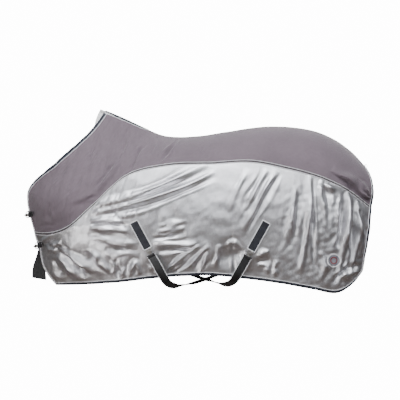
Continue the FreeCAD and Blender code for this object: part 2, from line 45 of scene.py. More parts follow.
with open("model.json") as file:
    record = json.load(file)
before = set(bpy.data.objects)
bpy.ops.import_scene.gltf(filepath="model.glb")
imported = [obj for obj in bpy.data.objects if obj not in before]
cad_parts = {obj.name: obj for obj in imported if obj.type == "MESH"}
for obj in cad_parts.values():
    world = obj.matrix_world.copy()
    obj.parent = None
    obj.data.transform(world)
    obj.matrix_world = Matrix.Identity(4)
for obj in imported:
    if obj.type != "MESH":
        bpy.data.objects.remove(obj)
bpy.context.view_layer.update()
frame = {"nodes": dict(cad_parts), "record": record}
MM = 0.001

# Lines of the cloth from the ridge down to the hem, as (x, half width, z) in millimetres at
# the ridge, crown, turn, bend, colour seam, flank, belly and hem.
STATIONS = np.array((
    ((-300, 0, 130), (-377, 52, 26), (-545, 104, -130), (-691, 12, -280),
     (-658, 4, -485), (-634, 5, -560), (-615, 14, -650), (-545, 42, -745)),
    ((-200, 0, 87), (-285, 84, -5), (-425, 165, -155), (-515, 200, -310),
     (-500, 195, -453), (-475, 196, -545), (-440, 185, -640), (-400, 165, -733)),
    ((-95, 0, 37), (-150, 108, -18), (-240, 190, -105), (-320, 236, -215),
     (-363, 250, -333), (-335, 262, -460), (-285, 258, -590), (-235, 245, -716)),
    ((5, 0, 0), (-15, 100, -26), (-60, 178, -72), (-120, 224, -122),
     (-190, 250, -180), (-170, 290, -350), (-125, 290, -530), (-80, 275, -698)),
    ((160, 0, -2), (150, 95, -14), (122, 166, -44), (78, 215, -84),
     (20, 244, -127), (35, 298, -320), (60, 303, -500), (80, 290, -683)),
    ((320, 0, 22), (315, 95, 9), (300, 168, -23), (270, 222, -70),
     (230, 255, -119), (230, 310, -310), (235, 315, -500), (240, 298, -680)),
    ((480, 0, 45), (478, 95, 32), (470, 170, -1), (452, 224, -48),
     (430, 258, -110), (425, 310, -300), (422, 312, -500), (420, 296, -698)),
    ((630, 0, 44), (632, 95, 31), (632, 170, -6), (622, 225, -66),
     (610, 256, -143), (605, 298, -320), (598, 300, -520), (590, 288, -720)),
    ((780, 0, 15), (785, 90, -2), (790, 160, -45), (788, 210, -112),
     (780, 240, -192), (770, 276, -360), (755, 282, -555), (740, 274, -748)),
    ((900, 0, -50), (908, 78, -68), (916, 140, -114), (918, 183, -180),
     (910, 212, -256), (905, 243, -410), (888, 250, -590), (868, 246, -767)),
    ((1003, 0, -158), (1014, 62, -168), (1035, 114, -208), (1045, 143, -268),
     (1033, 160, -355), (1026, 172, -450), (1008, 180, -560), (990, 185, -664)),
), float) * (MM, -MM, MM)
SEAM_ROW = 4
CLOTH = 2.0 * MM  # height of every cloth's outer face over the smooth surface
JERSEY_THICKNESS = 0.0016
MESH_THICKNESS = 0.0012
FLAP_THICKNESS = 0.0014  # of the yoke and the chest underlap
PANEL_INSET = 0.4  # share of the binding's width that a panel stops short of its edge

FRONT_PATCH = ((-0.157, -0.408), (-0.084, -0.545))
REAR_PATCH = ((0.508, -0.408), (0.428, -0.553))
STRAP_GIRTH = MM * np.array((
    (-321, -625), (-321, -668), (-306, -706), (-258, -730), (-140, -738), (0, -728),
    (130, -713), (230, -708), (290, -712), (320, -694), (326, -655), (323, -612), (320, -569),
), float)
BADGE_CENTRE = (0.843, -0.605)
BADGE_RADIUS = 0.0335
CHEST_TOP = 0.372
STRAP_TWIST = math.radians(32)  # of each strap's face to the near side as it sags
CREST_END = 0.225
FLAP_HINGE = np.array((1.001, 0.0, -0.187))
FLOOR_HEIGHT = -1.42
PALE = 16.0  # brightness of the floor and backdrop to the eye

# Folds of the near side. Each has its kind, half breadth and height in millimetres, and its
# line as (x, z) in millimetres. A ridge stands out, a crease sinks between two soft lips, a
# lap is a layer that falls over the cloth below it, and a swell is a broad rise or hollow.
FOLDS = (
    # creases of the jersey over the withers and shoulder
    ("crease", 7, 10, ((74, -6), (40, -40), (5, -80), (-28, -118))),
    ("crease", 6, 7, ((-118, -46), (-140, -90), (-168, -162))),
    ("crease", 6, 5, ((-192, -14), (-208, -60), (-232, -112))),
    ("crease", 6, 5, ((-262, -120), (-276, -150), (-298, -188))),
    ("crease", 6, 6, ((-350, -45), (-370, -80), (-394, -124))),
    ("crease", 8, 6, ((-256, -116), (-300, -180), (-350, -252))),
    ("crease", 9, 4, ((-33, 12), (-52, -34), (-74, -84))),
    ("crease", 9, 3, ((-186, 44), (-200, 0), (-214, -60))),
    ("crease", 10, 3, ((-120, 10), (-146, -40), (-158, -80))),
    ("crease", 8, 4, ((-396, -303), (-372, -294), (-346, -287))),
    ("crease", 12, 4, ((-582, -416), (-586, -370), (-578, -330))),
    ("crease", 9, 4, ((-626, -450), (-590, -438), (-545, -436))),
    ("crease", 9, 3, ((-410, -180), (-452, -240), (-500, -290))),
    ("crease", 9, 3, ((-480, -120), (-530, -190), (-580, -240))),
    ("ridge", 14, 6, ((-225, -100), (-290, -200), (-400, -290), (-480, -320))),
    ("ridge", 14, 4, ((-300, -20), (-350, -120), (-430, -220))),
    ("ridge", 12, 4, ((-160, 20), (-190, -60), (-240, -150))),
    ("ridge", 12, 4, ((-60, 5), (-100, -70), (-140, -120))),
    ("ridge", 12, 3, ((-380, 0), (-430, -90), (-500, -180))),
    ("crease", 10, 3, ((258, -50), (220, -82), (190, -96))),
    ("crease", 10, 2.5, ((210, -10), (180, -60), (150, -90))),
    # pleat of the jersey over the rump
    ("lap", 15, 19, ((826, -160), (845, -172), (875, -190), (910, -212), (940, -236),
                     (970, -268), (996, -290), (1030, -306))),
    ("crease", 7, 7, ((985, -262), (1005, -282), (1028, -300))),
    ("ridge", 10, 5, ((960, -205), (990, -245), (1020, -275))),
    ("crease", 9, 4, ((905, -235), (925, -252), (935, -262))),
    # long pulls over the ribs, from the shoulder seam up to the back
    ("ridge", 15, 9, ((-352, -330), (-230, -300), (-110, -262), (20, -210), (130, -160),
                      (215, -122))),
    ("crease", 11, 9, ((-335, -352), (-220, -322), (-100, -286), (30, -233), (140, -182),
                       (225, -140))),
    ("ridge", 11, 8, ((-368, -370), (-250, -340), (-110, -308), (0, -272), (100, -232),
                      (250, -160))),
    ("crease", 13, 8, ((-360, -392), (-240, -362), (-110, -330), (10, -292), (110, -252),
                       (255, -184))),
    ("ridge", 12, 7, ((-378, -408), (-330, -402), (-270, -404), (-215, -412))),
    ("crease", 8, 9, ((-374, -424), (-320, -420), (-250, -422), (-180, -428))),
    ("ridge", 10, 8, ((-380, -440), (-320, -443), (-250, -450), (-185, -458))),
    ("crease", 16, 5, ((-385, -470), (-300, -480), (-200, -488))),
    ("ridge", 12, 5, ((-250, -512), (-190, -516), (-120, -512))),
    ("crease", 14, 6, ((-300, -545), (-220, -552), (-130, -550))),
    ("ridge", 12, 5, ((-30, -430), (40, -420), (110, -402))),
    ("ridge", 11, 6, ((-40, -455), (30, -448), (100, -436))),
    ("crease", 9, 7, ((-62, -494), (0, -486), (60, -474), (104, -464))),
    ("ridge", 14, 9, ((-70, -520), (0, -520), (80, -522), (160, -527))),
    ("crease", 10, 8, ((-30, -556), (50, -552), (120, -544), (165, -534))),
    # fan of folds above the crossed straps
    ("ridge", 9, 9, ((172, -526), (120, -560), (60, -608), (8, -655))),
    ("crease", 10, 6, ((178, -548), (130, -592), (80, -640), (40, -668))),
    ("ridge", 9, 6, ((220, -528), (170, -572), (105, -648))),
    ("crease", 10, 5, ((205, -552), (176, -600), (140, -660))),
    ("ridge", 8, 8, ((212, -568), (194, -620), (168, -680))),
    ("ridge", 12, 7, ((274, -520), (262, -580), (244, -645))),
    ("ridge", 9, 6, ((296, -536), (316, -518), (340, -510), (366, -526), (394, -553))),
    ("swell", 52, -15, ((318, -575), (352, -572))),
    ("ridge", 12, 8, ((452, -585), (480, -568), (520, -556))),
    ("crease", 12, 6, ((455, -612), (490, -606), (530, -600))),
    ("ridge", 10, 6, ((480, -620), (510, -648), (520, -688))),
    ("ridge", 11, 6, ((560, -600), (548, -640), (556, -690))),
    # bundle of folds that falls forward from the loin
    ("ridge", 12, 8, ((556, -150), (490, -260), (430, -370), (384, -452))),
    ("crease", 11, 6, ((576, -168), (515, -270), (452, -380), (410, -460))),
    ("ridge", 12, 6, ((512, -150), (450, -250), (400, -350))),
    ("crease", 12, 4, ((486, -160), (420, -270), (380, -350))),
    ("ridge", 12, 4, ((420, -150), (360, -250), (320, -360))),
    # drapes down the quarter
    ("ridge", 14, 11, ((722, -178), (722, -290), (716, -400), (700, -520), (672, -672))),
    ("crease", 9, 9, ((738, -196), (742, -310), (738, -430), (738, -530), (742, -620))),
    ("ridge", 12, 5, ((768, -215), (792, -330), (800, -440))),
    ("crease", 15, 7, ((790, -218), (806, -280), (816, -340))),
    ("ridge", 12, 8, ((770, -208), (815, -238), (858, -250), (880, -246))),
    ("crease", 12, 13, ((892, -262), (892, -340), (884, -430), (858, -546))),
    ("ridge", 12, 14, ((924, -276), (920, -350), (908, -450), (886, -570), (862, -680))),
    ("crease", 13, 14, ((942, -310), (944, -420), (938, -540), (905, -680))),
    ("ridge", 11, 7, ((958, -300), (976, -400), (984, -500), (968, -600))),
    ("crease", 9, 8, ((968, -350), (986, -420), (1002, -478))),
    ("ridge", 13, 6, ((650, -230), (640, -350), (610, -480), (580, -560))),
    ("crease", 14, 5, ((670, -250), (660, -380), (640, -520))),
    ("ridge", 14, 6, ((770, -560), (800, -640), (770, -700))),
    ("ridge", 16, 8, ((880, -700), (930, -672), (975, -660))),
    ("crease", 12, 8, ((840, -720), (890, -660), (960, -636))),
    # lower front, between the chest closure and the foreleg
    ("ridge", 9, 7, ((-628, -536), (-590, -505), (-548, -474))),
    ("crease", 9, 6, ((-612, -546), (-575, -520), (-540, -505))),
    ("ridge", 11, 8, ((-600, -568), (-570, -562), (-545, -570))),
    ("ridge", 10, 8, ((-566, -545), (-545, -533), (-520, -526))),
    ("ridge", 14, 11, ((-524, -550), (-470, -588), (-410, -630), (-352, -668))),
    ("crease", 15, 9, ((-510, -578), (-460, -622), (-418, -668), (-395, -698))),
    ("ridge", 14, 10, ((-540, -588), (-500, -630), (-462, -672), (-430, -712))),
    ("crease", 16, 6, ((-560, -610), (-540, -650), (-500, -700))),
    ("ridge", 14, 7, ((-374, -560), (-330, -600), (-290, -645), (-262, -672))),
    ("crease", 15, 7, ((-400, -560), (-368, -606), (-330, -650))),
    ("ridge", 11, 10, ((-176, -690), (-164, -645), (-147, -618), (-134, -640), (-126, -676))),
    ("ridge", 10, 6, ((-214, -700), (-210, -660), (-196, -640))),
    ("ridge", 12, 5, ((-92, -620), (-60, -650), (-40, -680))),
    ("crease", 12, 6, ((-250, -600), (-236, -650), (-230, -700))),
)
FOLD_RELIEF = 1.35
CALM_PLACES = (  # (x, z, radius) in metres, where stiff webbing or metal keeps the cloth flat
    (-0.66, -0.40, 0.05), (-0.63, -0.56, 0.045), (-0.08, -0.565, 0.035), (0.425, -0.57, 0.035),
    (-0.12, -0.48, 0.055), (-0.15, -0.42, 0.04), (-0.09, -0.53, 0.04), (0.47, -0.48, 0.055),
    (0.50, -0.42, 0.04), (0.436, -0.54, 0.04),
)


# ---- The smooth surface -------------------------------------------------------------------
def knot_slopes(knots, values):
    """Slope at every knot of the parabola through it and its two neighbours."""
    gap = np.diff(knots).reshape((-1,) + (1,) * (values.ndim - 1))
    rise = np.diff(values, axis=0) / gap
    middle = (rise[:-1] * gap[1:] + rise[1:] * gap[:-1]) / (gap[:-1] + gap[1:])
    first = rise[0] + (rise[0] - rise[1]) * gap[0] / (gap[0] + gap[1])
    last = rise[-1] + (rise[-1] - rise[-2]) * gap[-1] / (gap[-1] + gap[-2])
    return np.concatenate([first[None], middle, last[None]])


def spline(knots, values, t):
    """Points at each t of the smooth curve through values, straight past its ends.

    values is one curve, or one curve for each t.
    """
    tangents = knot_slopes(knots, values)
    i = np.clip(np.searchsorted(knots, t, side="right") - 1, 0, len(knots) - 2)
    column = (np.arange(len(t)),) if values.ndim == 3 else ()
    span = (knots[i + 1] - knots[i])[:, None]
    s = (t - knots[i])[:, None] / span
    c = np.clip(s, 0, 1)
    leave = tangents[(i,) + column] * span
    arrive = tangents[(i + 1,) + column] * span
    point = (
        values[(i,) + column] * (2 * c**3 - 3 * c**2 + 1) + leave * (c**3 - 2 * c**2 + c)
        + values[(i + 1,) + column] * (3 * c**2 - 2 * c**3) + arrive * (c**3 - c**2)
    )
    return point + (s - c) * np.where(s > 1, arrive, leave)


def chord_knots(points):
    steps = np.linalg.norm(np.diff(points, axis=0), axis=1)
    knots = np.concatenate([[0], np.cumsum(steps)])
    return knots / knots[-1]


def seamed_knots(line):
    upper = chord_knots(line[: SEAM_ROW + 1]) / 2
    return np.concatenate([upper, 0.5 + chord_knots(line[SEAM_ROW:])[1:] / 2])


LINE_KNOTS = [seamed_knots(line) for line in STATIONS]
STATION_STEPS = np.linalg.norm(np.diff(STATIONS, axis=0), axis=2).mean(axis=1)
STATION_KNOTS = np.concatenate([[0], np.cumsum(STATION_STEPS)]) / STATION_STEPS.sum()


def base(u, v):
    """Points of the near side's inner face."""
    u, v = np.broadcast_arrays(np.asarray(u, float), np.asarray(v, float))
    flat = v.ravel()
    lines = np.stack([spline(k, line, flat) for k, line in zip(LINE_KNOTS, STATIONS)])
    return spline(STATION_KNOTS, lines, u.ravel()).reshape(u.shape + (3,))


def base_frame(u, v):
    """Points, slopes along and down, and outward normals of the near side."""
    step = 1e-4
    along = (base(u + step, v) - base(u - step, v)) / (2 * step)
    down = (base(u, v + step) - base(u, v - step)) / (2 * step)
    normal = np.cross(down, along)
    return base(u, v), along, down, normal / np.linalg.norm(normal, axis=-1, keepdims=True)


def along_share(width, u, v):
    return width / np.linalg.norm(base_frame(u, v)[1], axis=-1)


def down_share(width, u, v):
    return width / np.linalg.norm(base_frame(u, v)[2], axis=-1)


def locate(x, z, v=0.75):
    """The (u, v) whose points are at x and z in the side view."""
    x, z = np.asarray(x, float), np.asarray(z, float)
    u, v = np.full(x.shape, 0.5), np.full(x.shape, v)
    for _ in range(40):
        point, along, down, _ = base_frame(u, v)
        dx, dz = x - point[..., 0], z - point[..., 2]
        area = along[..., 0] * down[..., 2] - along[..., 2] * down[..., 0]
        u = u + 0.7 * (dx * down[..., 2] - dz * down[..., 0]) / area
        v = v + 0.7 * (dz * along[..., 0] - dx * along[..., 2]) / area
    return u, v


# ---- Folds ----------------------------------------------------------------------------------
def step_up(x, low, high):
    t = np.clip((x - low) / (high - low), 0, 1)
    return t * t * (3 - 2 * t)


def fold_height(x, z, kind, breadth, height, line):
    """Height that one fold adds at each (x, z)."""
    if len(line) == 2:
        line = np.insert(line, 1, line.mean(axis=0), axis=0)
    path = spline(chord_knots(line), line, np.linspace(0, 1, 3 * len(line)))
    best = np.full(x.shape, 1e9)
    side = np.zeros(x.shape)
    share = np.zeros(x.shape)
    spans = len(path) - 1
    for i, (start, end) in enumerate(zip(path, path[1:])):
        run = end - start
        t = np.clip(((x - start[0]) * run[0] + (z - start[1]) * run[1]) / (run @ run), 0, 1)
        dx, dz = x - start[0] - t * run[0], z - start[1] - t * run[1]
        away = np.hypot(dx, dz)
        nearer = away < best
        best = np.where(nearer, away, best)
        side = np.where(nearer, np.sign(run[0] * dz - run[1] * dx), side)
        share = np.where(nearer, (i + t) / spans, share)
    taper = np.sin(math.pi * np.clip(share, 0.0, 1.0)) ** 0.7
    d = best / (breadth * (1 + 0.3 * np.sin(7 * share + 530 * line[0, 1])))
    taper = taper * (1 + 0.3 * np.sin(11 * share + 370 * line[0, 0]))
    if kind == "ridge":
        shape = np.exp(-(d**2)) - 0.25 * np.exp(-((d - 1.9) ** 2) * 1.6)
    elif kind == "crease":
        shape = -np.exp(-(d**1.6) * 1.6) + 0.45 * np.exp(-((d - 1.7) ** 2) * 1.8)
    elif kind == "lap":
        above = np.exp(-((d / 2.4) ** 2))
        below = 1 - step_up(d, 0.0, 0.35)
        shape = np.where(side > 0, above, above * below - 0.35 * (1 - below) * np.exp(-d))
    else:
        shape = np.exp(-(d**2))
        taper = 1.0
    return FOLD_RELIEF * height * taper * shape


def crumple(x, z, spread, waves, seed):
    """Small uneven waves, between about -1 and 1."""
    chance = np.random.default_rng(seed)
    total = np.zeros(x.shape)
    for _ in range(waves):
        turn = chance.uniform(0, math.pi)
        pitch = spread * chance.uniform(0.7, 1.6)
        bend = chance.uniform(0, 6)
        across = math.cos(turn) * x + math.sin(turn) * z
        beside = -math.sin(turn) * x + math.cos(turn) * z
        total += np.sin(2 * math.pi * across / pitch + 1.3 * np.sin(beside / pitch * 1.7 + bend))
    return total / math.sqrt(waves)


def streaks(x, z):
    """Narrow creases that fall forward and down over the neck and shoulder."""
    across = 0.923 * x - 0.385 * z
    beside = 0.385 * x + 0.923 * z
    total = np.zeros(x.shape)
    for pitch, bend, size in ((0.034, 1.0, 0.5), (0.051, 4.0, 0.8), (0.079, 2.5, 1.0)):
        wave = np.sin(2 * math.pi * across / pitch + 2.2 * np.sin(beside / 0.11 + bend))
        gate = 0.5 + 0.5 * np.sin(beside / (2.2 * pitch) + 17 * across + 3 * bend)
        total -= size * gate * np.clip(wave, 0, 1) ** 2
    return total * step_up(-x, -0.10, 0.10) * (1 - step_up(-z, 0.36, 0.46))


def drape(point, far):
    """How far the folds lift the cloth at each point of the near side."""
    x, z, half = point[..., 0], point[..., 2], -point[..., 1]
    if far:
        away = step_up(half, 0.02, 0.16)
        x = x + away * 0.035 * np.sin(7 * z + 1.0)
        z = z + away * 0.022 * np.sin(5 * x)
    total = np.zeros(x.shape)
    for kind, breadth, height, line in FOLDS:
        line = MM * np.array(line, float)
        reach = MM * breadth * 5
        low, high = line.min(axis=0) - reach, line.max(axis=0) + reach
        near = (x > low[0]) & (x < high[0]) & (z > low[1]) & (z < high[1])
        if near.any():
            total[near] += fold_height(x[near], z[near], kind, MM * breadth, MM * height, line)
    total += MM * 3.2 * streaks(x, z)
    lower = step_up(-z, 0.16, 0.30)
    total += MM * (0.5 + 0.9 * lower) * crumple(x, z, 0.11, 7, 5)
    quarter = step_up(x, 0.50, 0.72)
    total += MM * (0.35 + 0.5 * quarter) * lower * crumple(x, z, 0.035, 9, 11)
    belly = step_up(x, -0.25, -0.05) * (1 - step_up(x, 0.42, 0.62))
    total -= 12 * MM * belly * step_up(-z, 0.52, 0.70)
    for cx, cz, radius in CALM_PLACES:
        total *= 1 - 0.93 * np.exp(-(((x - cx) ** 2 + (z - cz) ** 2) / radius**2) ** 2)
    total *= step_up(half, -0.02, 0.05)
    return total


def cloth(u, v, height, far=False):
    """Points at a height over the draped cloth's inner face."""
    point, _, _, normal = base_frame(u, v)
    point = point + normal * (np.asarray(height) + drape(point, far))[..., None]
    return point * (1, -1, 1) if far else point


# ---- Meshes ---------------------------------------------------------------------------------
def new_piece(name, vertices, faces, uv, material, body="rug"):
    mesh = bpy.data.meshes.new(name)
    mesh.from_pydata(vertices.reshape(-1, 3).tolist(), [], faces)
    mesh.polygons.foreach_set("use_smooth", [True] * len(mesh.polygons))
    layer = mesh.uv_layers.new(name="UVMap")
    corners = np.zeros(len(mesh.loops), dtype=np.int32)
    mesh.loops.foreach_get("vertex_index", corners)
    layer.data.foreach_set("uv", uv.reshape(-1, 2)[corners].astype(np.float32).ravel())
    mesh.validate()
    mesh.update()
    piece = bpy.data.objects.new(name, mesh)
    bpy.context.scene.collection.objects.link(piece)
    mesh.materials.append(material)
    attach(piece, body)
    return piece


def grid_faces(rows, columns, start=0, flip=False):
    i, j = np.meshgrid(np.arange(rows - 1), np.arange(columns - 1), indexing="ij")
    a = start + i * columns + j
    quads = np.stack([a, a + 1, a + columns + 1, a + columns], axis=-1).reshape(-1, 4)
    return quads[:, ::-1] if flip else quads


def surface_normals(points):
    along = np.gradient(points, axis=0)
    down = np.gradient(points, axis=1)
    normal = np.cross(down, along)
    return normal / np.maximum(np.linalg.norm(normal, axis=-1, keepdims=True), 1e-12)


def grid_lengths(points):
    """Flat coordinates in metres: along the first axis, then across it."""
    first = np.linalg.norm(np.diff(points, axis=0), axis=-1).mean(axis=1)
    second = np.linalg.norm(np.diff(points, axis=1), axis=-1).mean(axis=0)
    u = np.concatenate([[0], np.cumsum(first)])
    v = np.concatenate([[0], np.cumsum(second)])
    return np.stack(np.meshgrid(u, v, indexing="ij"), axis=-1)


def shell(name, outer, inner, material, body="rug", outward=1):
    """Closed skin over two grids of points, joined all round their edges."""
    rows, columns = outer.shape[:2]
    count = rows * columns
    quads = [grid_faces(rows, columns, 0, outward > 0),
             grid_faces(rows, columns, count, outward < 0)]
    rim = np.concatenate([
        np.arange(columns), np.arange(1, rows) * columns + columns - 1,
        (rows - 1) * columns + np.arange(columns - 2, -1, -1),
        np.arange(rows - 2, 0, -1) * columns,
    ])
    ahead = np.roll(rim, -1)
    edge = np.stack([rim, ahead, ahead + count, rim + count], axis=-1)
    quads.append(edge if outward > 0 else edge[:, ::-1])
    flat = grid_lengths(outer)
    return new_piece(
        name, np.concatenate([outer.reshape(-1, 3), inner.reshape(-1, 3)]),
        np.concatenate(quads).tolist(),
        np.concatenate([flat.reshape(-1, 2), flat.reshape(-1, 2)]), material, body)


def cloth_sheet(name, outer, thickness, material, body="rug", outward=1):
    """Closed sheet under a grid of points on its outer face."""
    inner = outer - surface_normals(outer) * (outward * thickness)
    return shell(name, outer, inner, material, body, outward)


def sweep(name, rings, material, body="rug", closed=False):
    """Skin over rings of points, with flat ends unless the sweep closes on itself."""
    count, around = rings.shape[:2]
    i, j = np.meshgrid(np.arange(count if closed else count - 1), np.arange(around), indexing="ij")
    a, b = i * around + j, i * around + (j + 1) % around
    c, d = (i + 1) % count * around + (j + 1) % around, (i + 1) % count * around + j
    faces = np.stack([a, b, c, d], axis=-1).reshape(-1, 4).tolist()
    if not closed:
        faces.append(list(range(around - 1, -1, -1)))
        faces.append([(count - 1) * around + k for k in range(around)])
    centre = rings.mean(axis=1)
    length = np.concatenate([[0], np.cumsum(np.linalg.norm(np.diff(centre, axis=0), axis=1))])
    steps = np.linalg.norm(np.diff(rings[0], axis=0), axis=1)
    girth = np.concatenate([[0], np.cumsum(steps)])
    uv = np.stack(np.meshgrid(length, girth, indexing="ij"), axis=-1)
    return new_piece(name, rings, faces, uv, material, body)


def unit(vectors):
    return vectors / np.maximum(np.linalg.norm(vectors, axis=-1, keepdims=True), 1e-12)


def section_axes(centres, facings, closed):
    """Sideways and outward directions of the cross-section at each centre."""
    if closed:
        tangent = unit(np.roll(centres, -1, axis=0) - np.roll(centres, 1, axis=0))
    else:
        tangent = unit(np.gradient(centres, axis=0))
    facing = unit(facings - tangent * np.sum(facings * tangent, axis=1, keepdims=True))
    return np.cross(tangent, facing), facing


def ribbon_rings(centres, facings, width, thickness, closed=False):
    """Rounded flat cross-sections of a webbing along its centres."""
    side, facing = section_axes(centres, facings, closed)
    half, lip = width / 2, thickness / 2
    across = np.array([-1, -0.97, -0.9, -0.45, 0, 0.45, 0.9, 0.97, 1])
    rim = np.array([0, 0.7, 1, 1, 1, 1, 1, 0.7, 0])
    ring = [(half * a, lip * r) for a, r in zip(across, rim)]
    ring += [(half * a, -lip * r) for a, r in zip(across, rim)][-2:0:-1]
    return np.stack([centres + side * s + facing * h for s, h in ring], axis=1)


def tube_rings(centres, radius, facings, closed=False):
    """Eight-sided cross-sections of a cord along its centres."""
    side, facing = section_axes(centres, facings, closed)
    turns = np.linspace(0, 2 * math.pi, 8, endpoint=False)
    return np.stack([centres + radius * (math.cos(t) * side + math.sin(t) * facing)
                     for t in turns], axis=1)


def resample(points, count, closed=False):
    """Evenly spaced points on the smooth curve through the given ones."""
    if closed:
        points = np.concatenate([points, points[:1]])
    knots = chord_knots(points)
    t = np.linspace(0, 1, count + 1 if closed else count)
    dense = spline(knots, points, t)
    return dense[:-1] if closed else dense


# ---- Materials ------------------------------------------------------------------------------
def add_node(tree, kind, settings=None, **sockets):
    node = tree.nodes.new(kind)
    for name, value in (settings or {}).items():
        setattr(node, name, value)
    for name, value in sockets.items():
        target = node.inputs[int(name[1:])] if name[0] == "i" and name[1:].isdigit() \
            else node.inputs[name.replace("_", " ")]
        if isinstance(value, bpy.types.NodeSocket):
            tree.links.new(value, target)
        else:
            target.default_value = value
    return node


def maths(tree, operation, *values):
    sockets = {f"i{i}": value for i, value in enumerate(values)}
    return add_node(tree, "ShaderNodeMath", {"operation": operation}, **sockets).outputs[0]


def colour_mix(tree, share, first, second):
    node = add_node(tree, "ShaderNodeMix", {"data_type": "RGBA"}, i0=share, i6=first, i7=second)
    return node.outputs[2]


def new_group(name, inputs, outputs):
    group = bpy.data.node_groups.new(name, "ShaderNodeTree")
    for socket, kind, value in inputs:
        made = group.interface.new_socket(socket, in_out="INPUT", socket_type=kind)
        if value is not None:
            made.default_value = value
    for socket, kind in outputs:
        group.interface.new_socket(socket, in_out="OUTPUT", socket_type=kind)
    return (group, group.nodes.new("NodeGroupInput").outputs,
            group.nodes.new("NodeGroupOutput").inputs)


def weave_group():
    """Threads that cross over and under; Slant turns plain weave to a slanted one."""
    group, given, out = new_group(
        "Crossed threads",
        [("Vector", "NodeSocketVector", None), ("Threads", "NodeSocketFloat", 500.0),
         ("Slant", "NodeSocketFloat", 0.0)],
        [("Height", "NodeSocketFloat"), ("Shade", "NodeSocketFloat")])
    place = add_node(group, "ShaderNodeSeparateXYZ", Vector=given["Vector"]).outputs
    turn = maths(group, "MULTIPLY", given["Threads"], math.pi)
    along = maths(group, "MULTIPLY", place[0], turn)
    across = maths(group, "MULTIPLY", place[1], turn)
    leaning = maths(group, "ADD", along, maths(group, "MULTIPLY", across, given["Slant"]))
    warp = maths(group, "ABSOLUTE", maths(group, "SINE", leaning))
    weft = maths(group, "ABSOLUTE", maths(group, "SINE", across))
    height = maths(group, "MULTIPLY", warp, weft)
    noise = add_node(group, "ShaderNodeTexNoise", Vector=given["Vector"], Scale=60.0, Detail=3.0)
    group.links.new(height, out["Height"])
    # Shade is painted shade: lighter on the thread crowns, darker in the gaps between threads,
    # plus random tone from the noise.
    shade = maths(group, "ADD", maths(group, "MULTIPLY", height, 0.35), noise.outputs["Fac"])
    group.links.new(shade, out["Shade"])
    return group


def mottle_group():
    """Soft uneven patches, as in cloth that has been worn and washed."""
    group, given, out = new_group(
        "Uneven dye",
        [("Vector", "NodeSocketVector", None), ("Scale", "NodeSocketFloat", 6.0),
         ("Contrast", "NodeSocketFloat", 1.0)],
        [("Mask", "NodeSocketFloat")])
    broad = add_node(group, "ShaderNodeTexNoise", Vector=given["Vector"], Scale=given["Scale"],
                     Detail=4.0, Roughness=0.55).outputs["Fac"]
    spread = maths(group, "MULTIPLY", maths(group, "SUBTRACT", broad, 0.5), given["Contrast"])
    mask = add_node(group, "ShaderNodeClamp", Value=maths(group, "ADD", spread, 0.5))
    group.links.new(mask.outputs[0], out["Mask"])
    return group


def stitch_group():
    """Row of stitches at one distance across a tape, with Mask 1 on the thread."""
    group, given, out = new_group(
        "Stitch row",
        [("Vector", "NodeSocketVector", None), ("Offset", "NodeSocketFloat", 0.002),
         ("Pitch", "NodeSocketFloat", 0.004), ("Breadth", "NodeSocketFloat", 0.0006)],
        [("Mask", "NodeSocketFloat")])
    place = add_node(group, "ShaderNodeSeparateXYZ", Vector=given["Vector"]).outputs
    away = maths(group, "ABSOLUTE", maths(group, "SUBTRACT", place[1], given["Offset"]))
    on_row = maths(group, "LESS_THAN", away, given["Breadth"])
    part = maths(group, "FRACT", maths(group, "DIVIDE", place[0], given["Pitch"]))
    group.links.new(maths(group, "MULTIPLY", on_row, maths(group, "LESS_THAN", part, 0.7)),
                    out["Mask"])
    return group


GROUPS = {}


def effect(tree, name, **sockets):
    """Places a shared effect in a material and returns its outputs."""
    makers = {"weave": weave_group, "mottle": mottle_group, "stitch": stitch_group}
    if name not in GROUPS:
        GROUPS[name] = makers[name]()
    return add_node(tree, "ShaderNodeGroup", {"node_tree": GROUPS[name]}, **sockets).outputs


def new_material(name):
    material = bpy.data.materials.new(name)
    material.use_nodes = True
    tree = material.node_tree
    place = add_node(tree, "ShaderNodeTexCoord").outputs
    return material, tree, tree.nodes["Principled BSDF"], place


def fabric(name, dark, light, threads, depth, roughness, slant=0.0, metallic=0.0, sheen=0.3,
           dye_scale=6.0, contrast=1.6, thread_shade=0.3, stitches=(), thread=(0.6, 0.6, 0.6, 1)):
    """Woven cloth whose colour runs between dark and light."""
    material, tree, surface, place = new_material(name)
    weave = effect(tree, "weave", Vector=place["UV"], Threads=threads, Slant=slant)
    dye = effect(tree, "mottle", Vector=place["Object"], Scale=dye_scale,
                 Contrast=contrast)["Mask"]
    colour = colour_mix(tree, dye, dark, light)
    # painted shade from the weave: darker between the threads, with random tone from the noise
    shade = maths(tree, "MULTIPLY", maths(tree, "SUBTRACT", weave["Shade"], 0.6), thread_shade)
    colour = add_node(tree, "ShaderNodeHueSaturation", Color=colour,
                      Value=maths(tree, "ADD", shade, 1.0)).outputs[0]
    height = weave["Height"]
    for offset in stitches:
        row = effect(tree, "stitch", Vector=place["UV"], Offset=offset)["Mask"]
        colour = colour_mix(tree, row, colour, thread)
        height = maths(tree, "ADD", height, maths(tree, "MULTIPLY", row, 1.5))
    bump = add_node(tree, "ShaderNodeBump", Height=height, Distance=depth, Strength=0.6)
    rough = maths(tree, "ADD", maths(tree, "MULTIPLY", dye, 0.12), roughness - 0.06)
    tree.links.new(colour, surface.inputs["Base Color"])
    tree.links.new(rough, surface.inputs["Roughness"])
    tree.links.new(bump.outputs[0], surface.inputs["Normal"])
    surface.inputs["Metallic"].default_value = metallic
    surface.inputs["Sheen Weight"].default_value = sheen
    surface.inputs["Sheen Roughness"].default_value = 0.4
    return material


def shaded(colour, share):
    return tuple(c * share for c in colour) + (1.0,)


